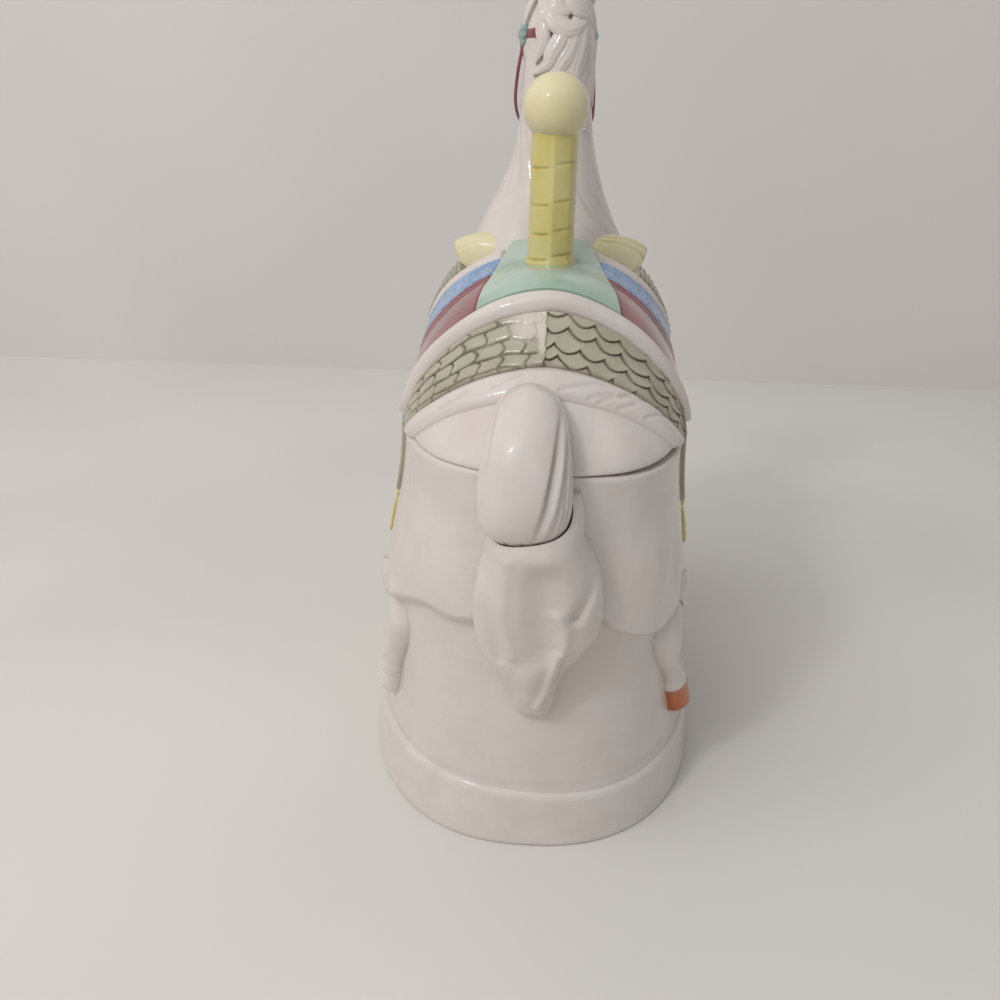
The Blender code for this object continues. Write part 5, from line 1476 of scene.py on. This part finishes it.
straps = strap_grids(round_neck, np.radians(np.linspace(-96, 96, 80))[None, :], 4.6)
for distance, width, first, last in ((16, 4.2, 82, 278), (56, 4.4, 0, 360)):
    across = np.radians(np.linspace(first, last, 120))[None, :]
    straps += strap_grids(round_face(distance), across, width)
for _, side in SIDES:
    share = np.linspace(0, 1, 40)
    cheek = face(np.radians(180 - side * (86 - 4 * share)), 18 + 38 * share, 0.2)
    straps.append(tube(path_rings(cheek, 1.0, 2.0, 12, up=(1, 0, 0))))
    hung = 1.8 * (side > 0)
    reins = np.array([
        (side * (16.4 - hung), 62, SEAM + 145), (side * (18.6 - hung), 64, SEAM + 133),
        (side * (19.6 - hung), 70, SEAM + 120), (side * 17.5, 82, SEAM + 111),
        (side * 13.5, 97, SEAM + 113), (side * 10.2, 106, SEAM + 119)])
    step = np.linspace(0, len(reins) - 1, 60)
    path = np.stack([through(values, step) for values in reins.T], axis=-1)
    straps.append(tube(path_rings(path, 0.8, 0.8, 12, up=(0, 0, 1))))
piece("cast_bridle", grid_mesh("bridle", straps), BURGUNDY, "lid", "rose_glaze", sharp=70)

for prefix, side in SIDES:
    ear, hollow = ear_grid(side)
    name = f"{prefix}_ear"
    piece(f"cast_{name}", grid_mesh(name, [tube(ear, wash=hollow)]), WHITE, "lid", "white_glaze",
          name, sharp=70)
    disc, dark = rosette_grid(side)
    name = f"{prefix}_rosette"
    piece(f"cast_{name}", grid_mesh(name, [sheet(disc, True, wash=dark)]), TEAL, "lid",
          "teal_glaze", name, sharp=70)
print("ears, rosettes and bridle")

# %% [markdown]
# ## Table, wall and light
# The ware stands on a pale table before a pale grey wall, in soft light from a window behind the
# camera's left shoulder. A large lamp that no reflection shows, with the world's light, gives the
# soft part; five small lamps, the window's panes, give the small bright reflections on the glaze.

# %% Stage and light
def stage_plane(name, corners, colour, roughness):
    """A flat backdrop whose two tones are mixed by a broad noise."""
    mesh = bpy.data.meshes.new(name)
    mesh.from_pydata(corners, [], [tuple(range(len(corners)))])
    thing = bpy.data.objects.new(name, mesh)
    bpy.context.scene.collection.objects.link(thing)
    material = bpy.data.materials.new(name)
    material.use_nodes = True
    tree = material.node_tree
    place = node(tree, "TexCoord").outputs["Object"]
    tint = between(tree, noise(tree, place, 260, 1), 0.35, 0.65)
    tone = mixed(tree, tint, linear(colour[0]), linear(colour[1]))
    shader = tree.nodes["Principled BSDF"]
    tree.links.new(tone, shader.inputs["Base Color"])
    shader.inputs["Roughness"].default_value = roughness
    mesh.materials.append(material)


def lamp(name, place, target, size, power):
    """A square lamp turned to its target, a little warm."""
    light = bpy.data.lights.new(name, "AREA")
    light.energy, light.color, light.size = power, (1, 0.99, 0.97), size
    thing = bpy.data.objects.new(name, light)
    thing.location = place
    thing.rotation_euler = (Vector(target) - Vector(place)).to_track_quat("-Z", "Y").to_euler()
    bpy.context.scene.collection.objects.link(thing)
    return thing


WALL_Y = 0.56
stage_plane("table", [(-3, -3, 0), (3, -3, 0), (3, WALL_Y, 0), (-3, WALL_Y, 0)],
            ("#D8D5D0", "#D2CFCA"), 0.6)
stage_plane("wall", [(-3, WALL_Y, 0), (3, WALL_Y, 0), (3, WALL_Y, 3), (-3, WALL_Y, 3)],
            ("#D8D3D0", "#D3CFCD"), 0.7)
world = bpy.data.worlds.new("room")
bpy.context.scene.world = world
world.use_nodes = True
background = world.node_tree.nodes["Background"]
background.inputs["Color"].default_value = (0.98, 0.99, 1, 1)
background.inputs["Strength"].default_value = 0.45
for across, up in ((-0.10, 0.05), (-0.03, 0.10), (0.04, 0.09), (0.10, 0.03), (0.0, -0.02)):
    lamp("pane", (-0.75 + across, -0.95, 1.25 + up), (0, 0, 0.15), size=0.05, power=1.0)
sky = lamp("sky", (-1.1, -0.9, 1.9), (0, 0.1, 0.1), size=1.7, power=25)
sky.visible_glossy = False
bpy.context.scene.view_settings.view_transform = "Standard"
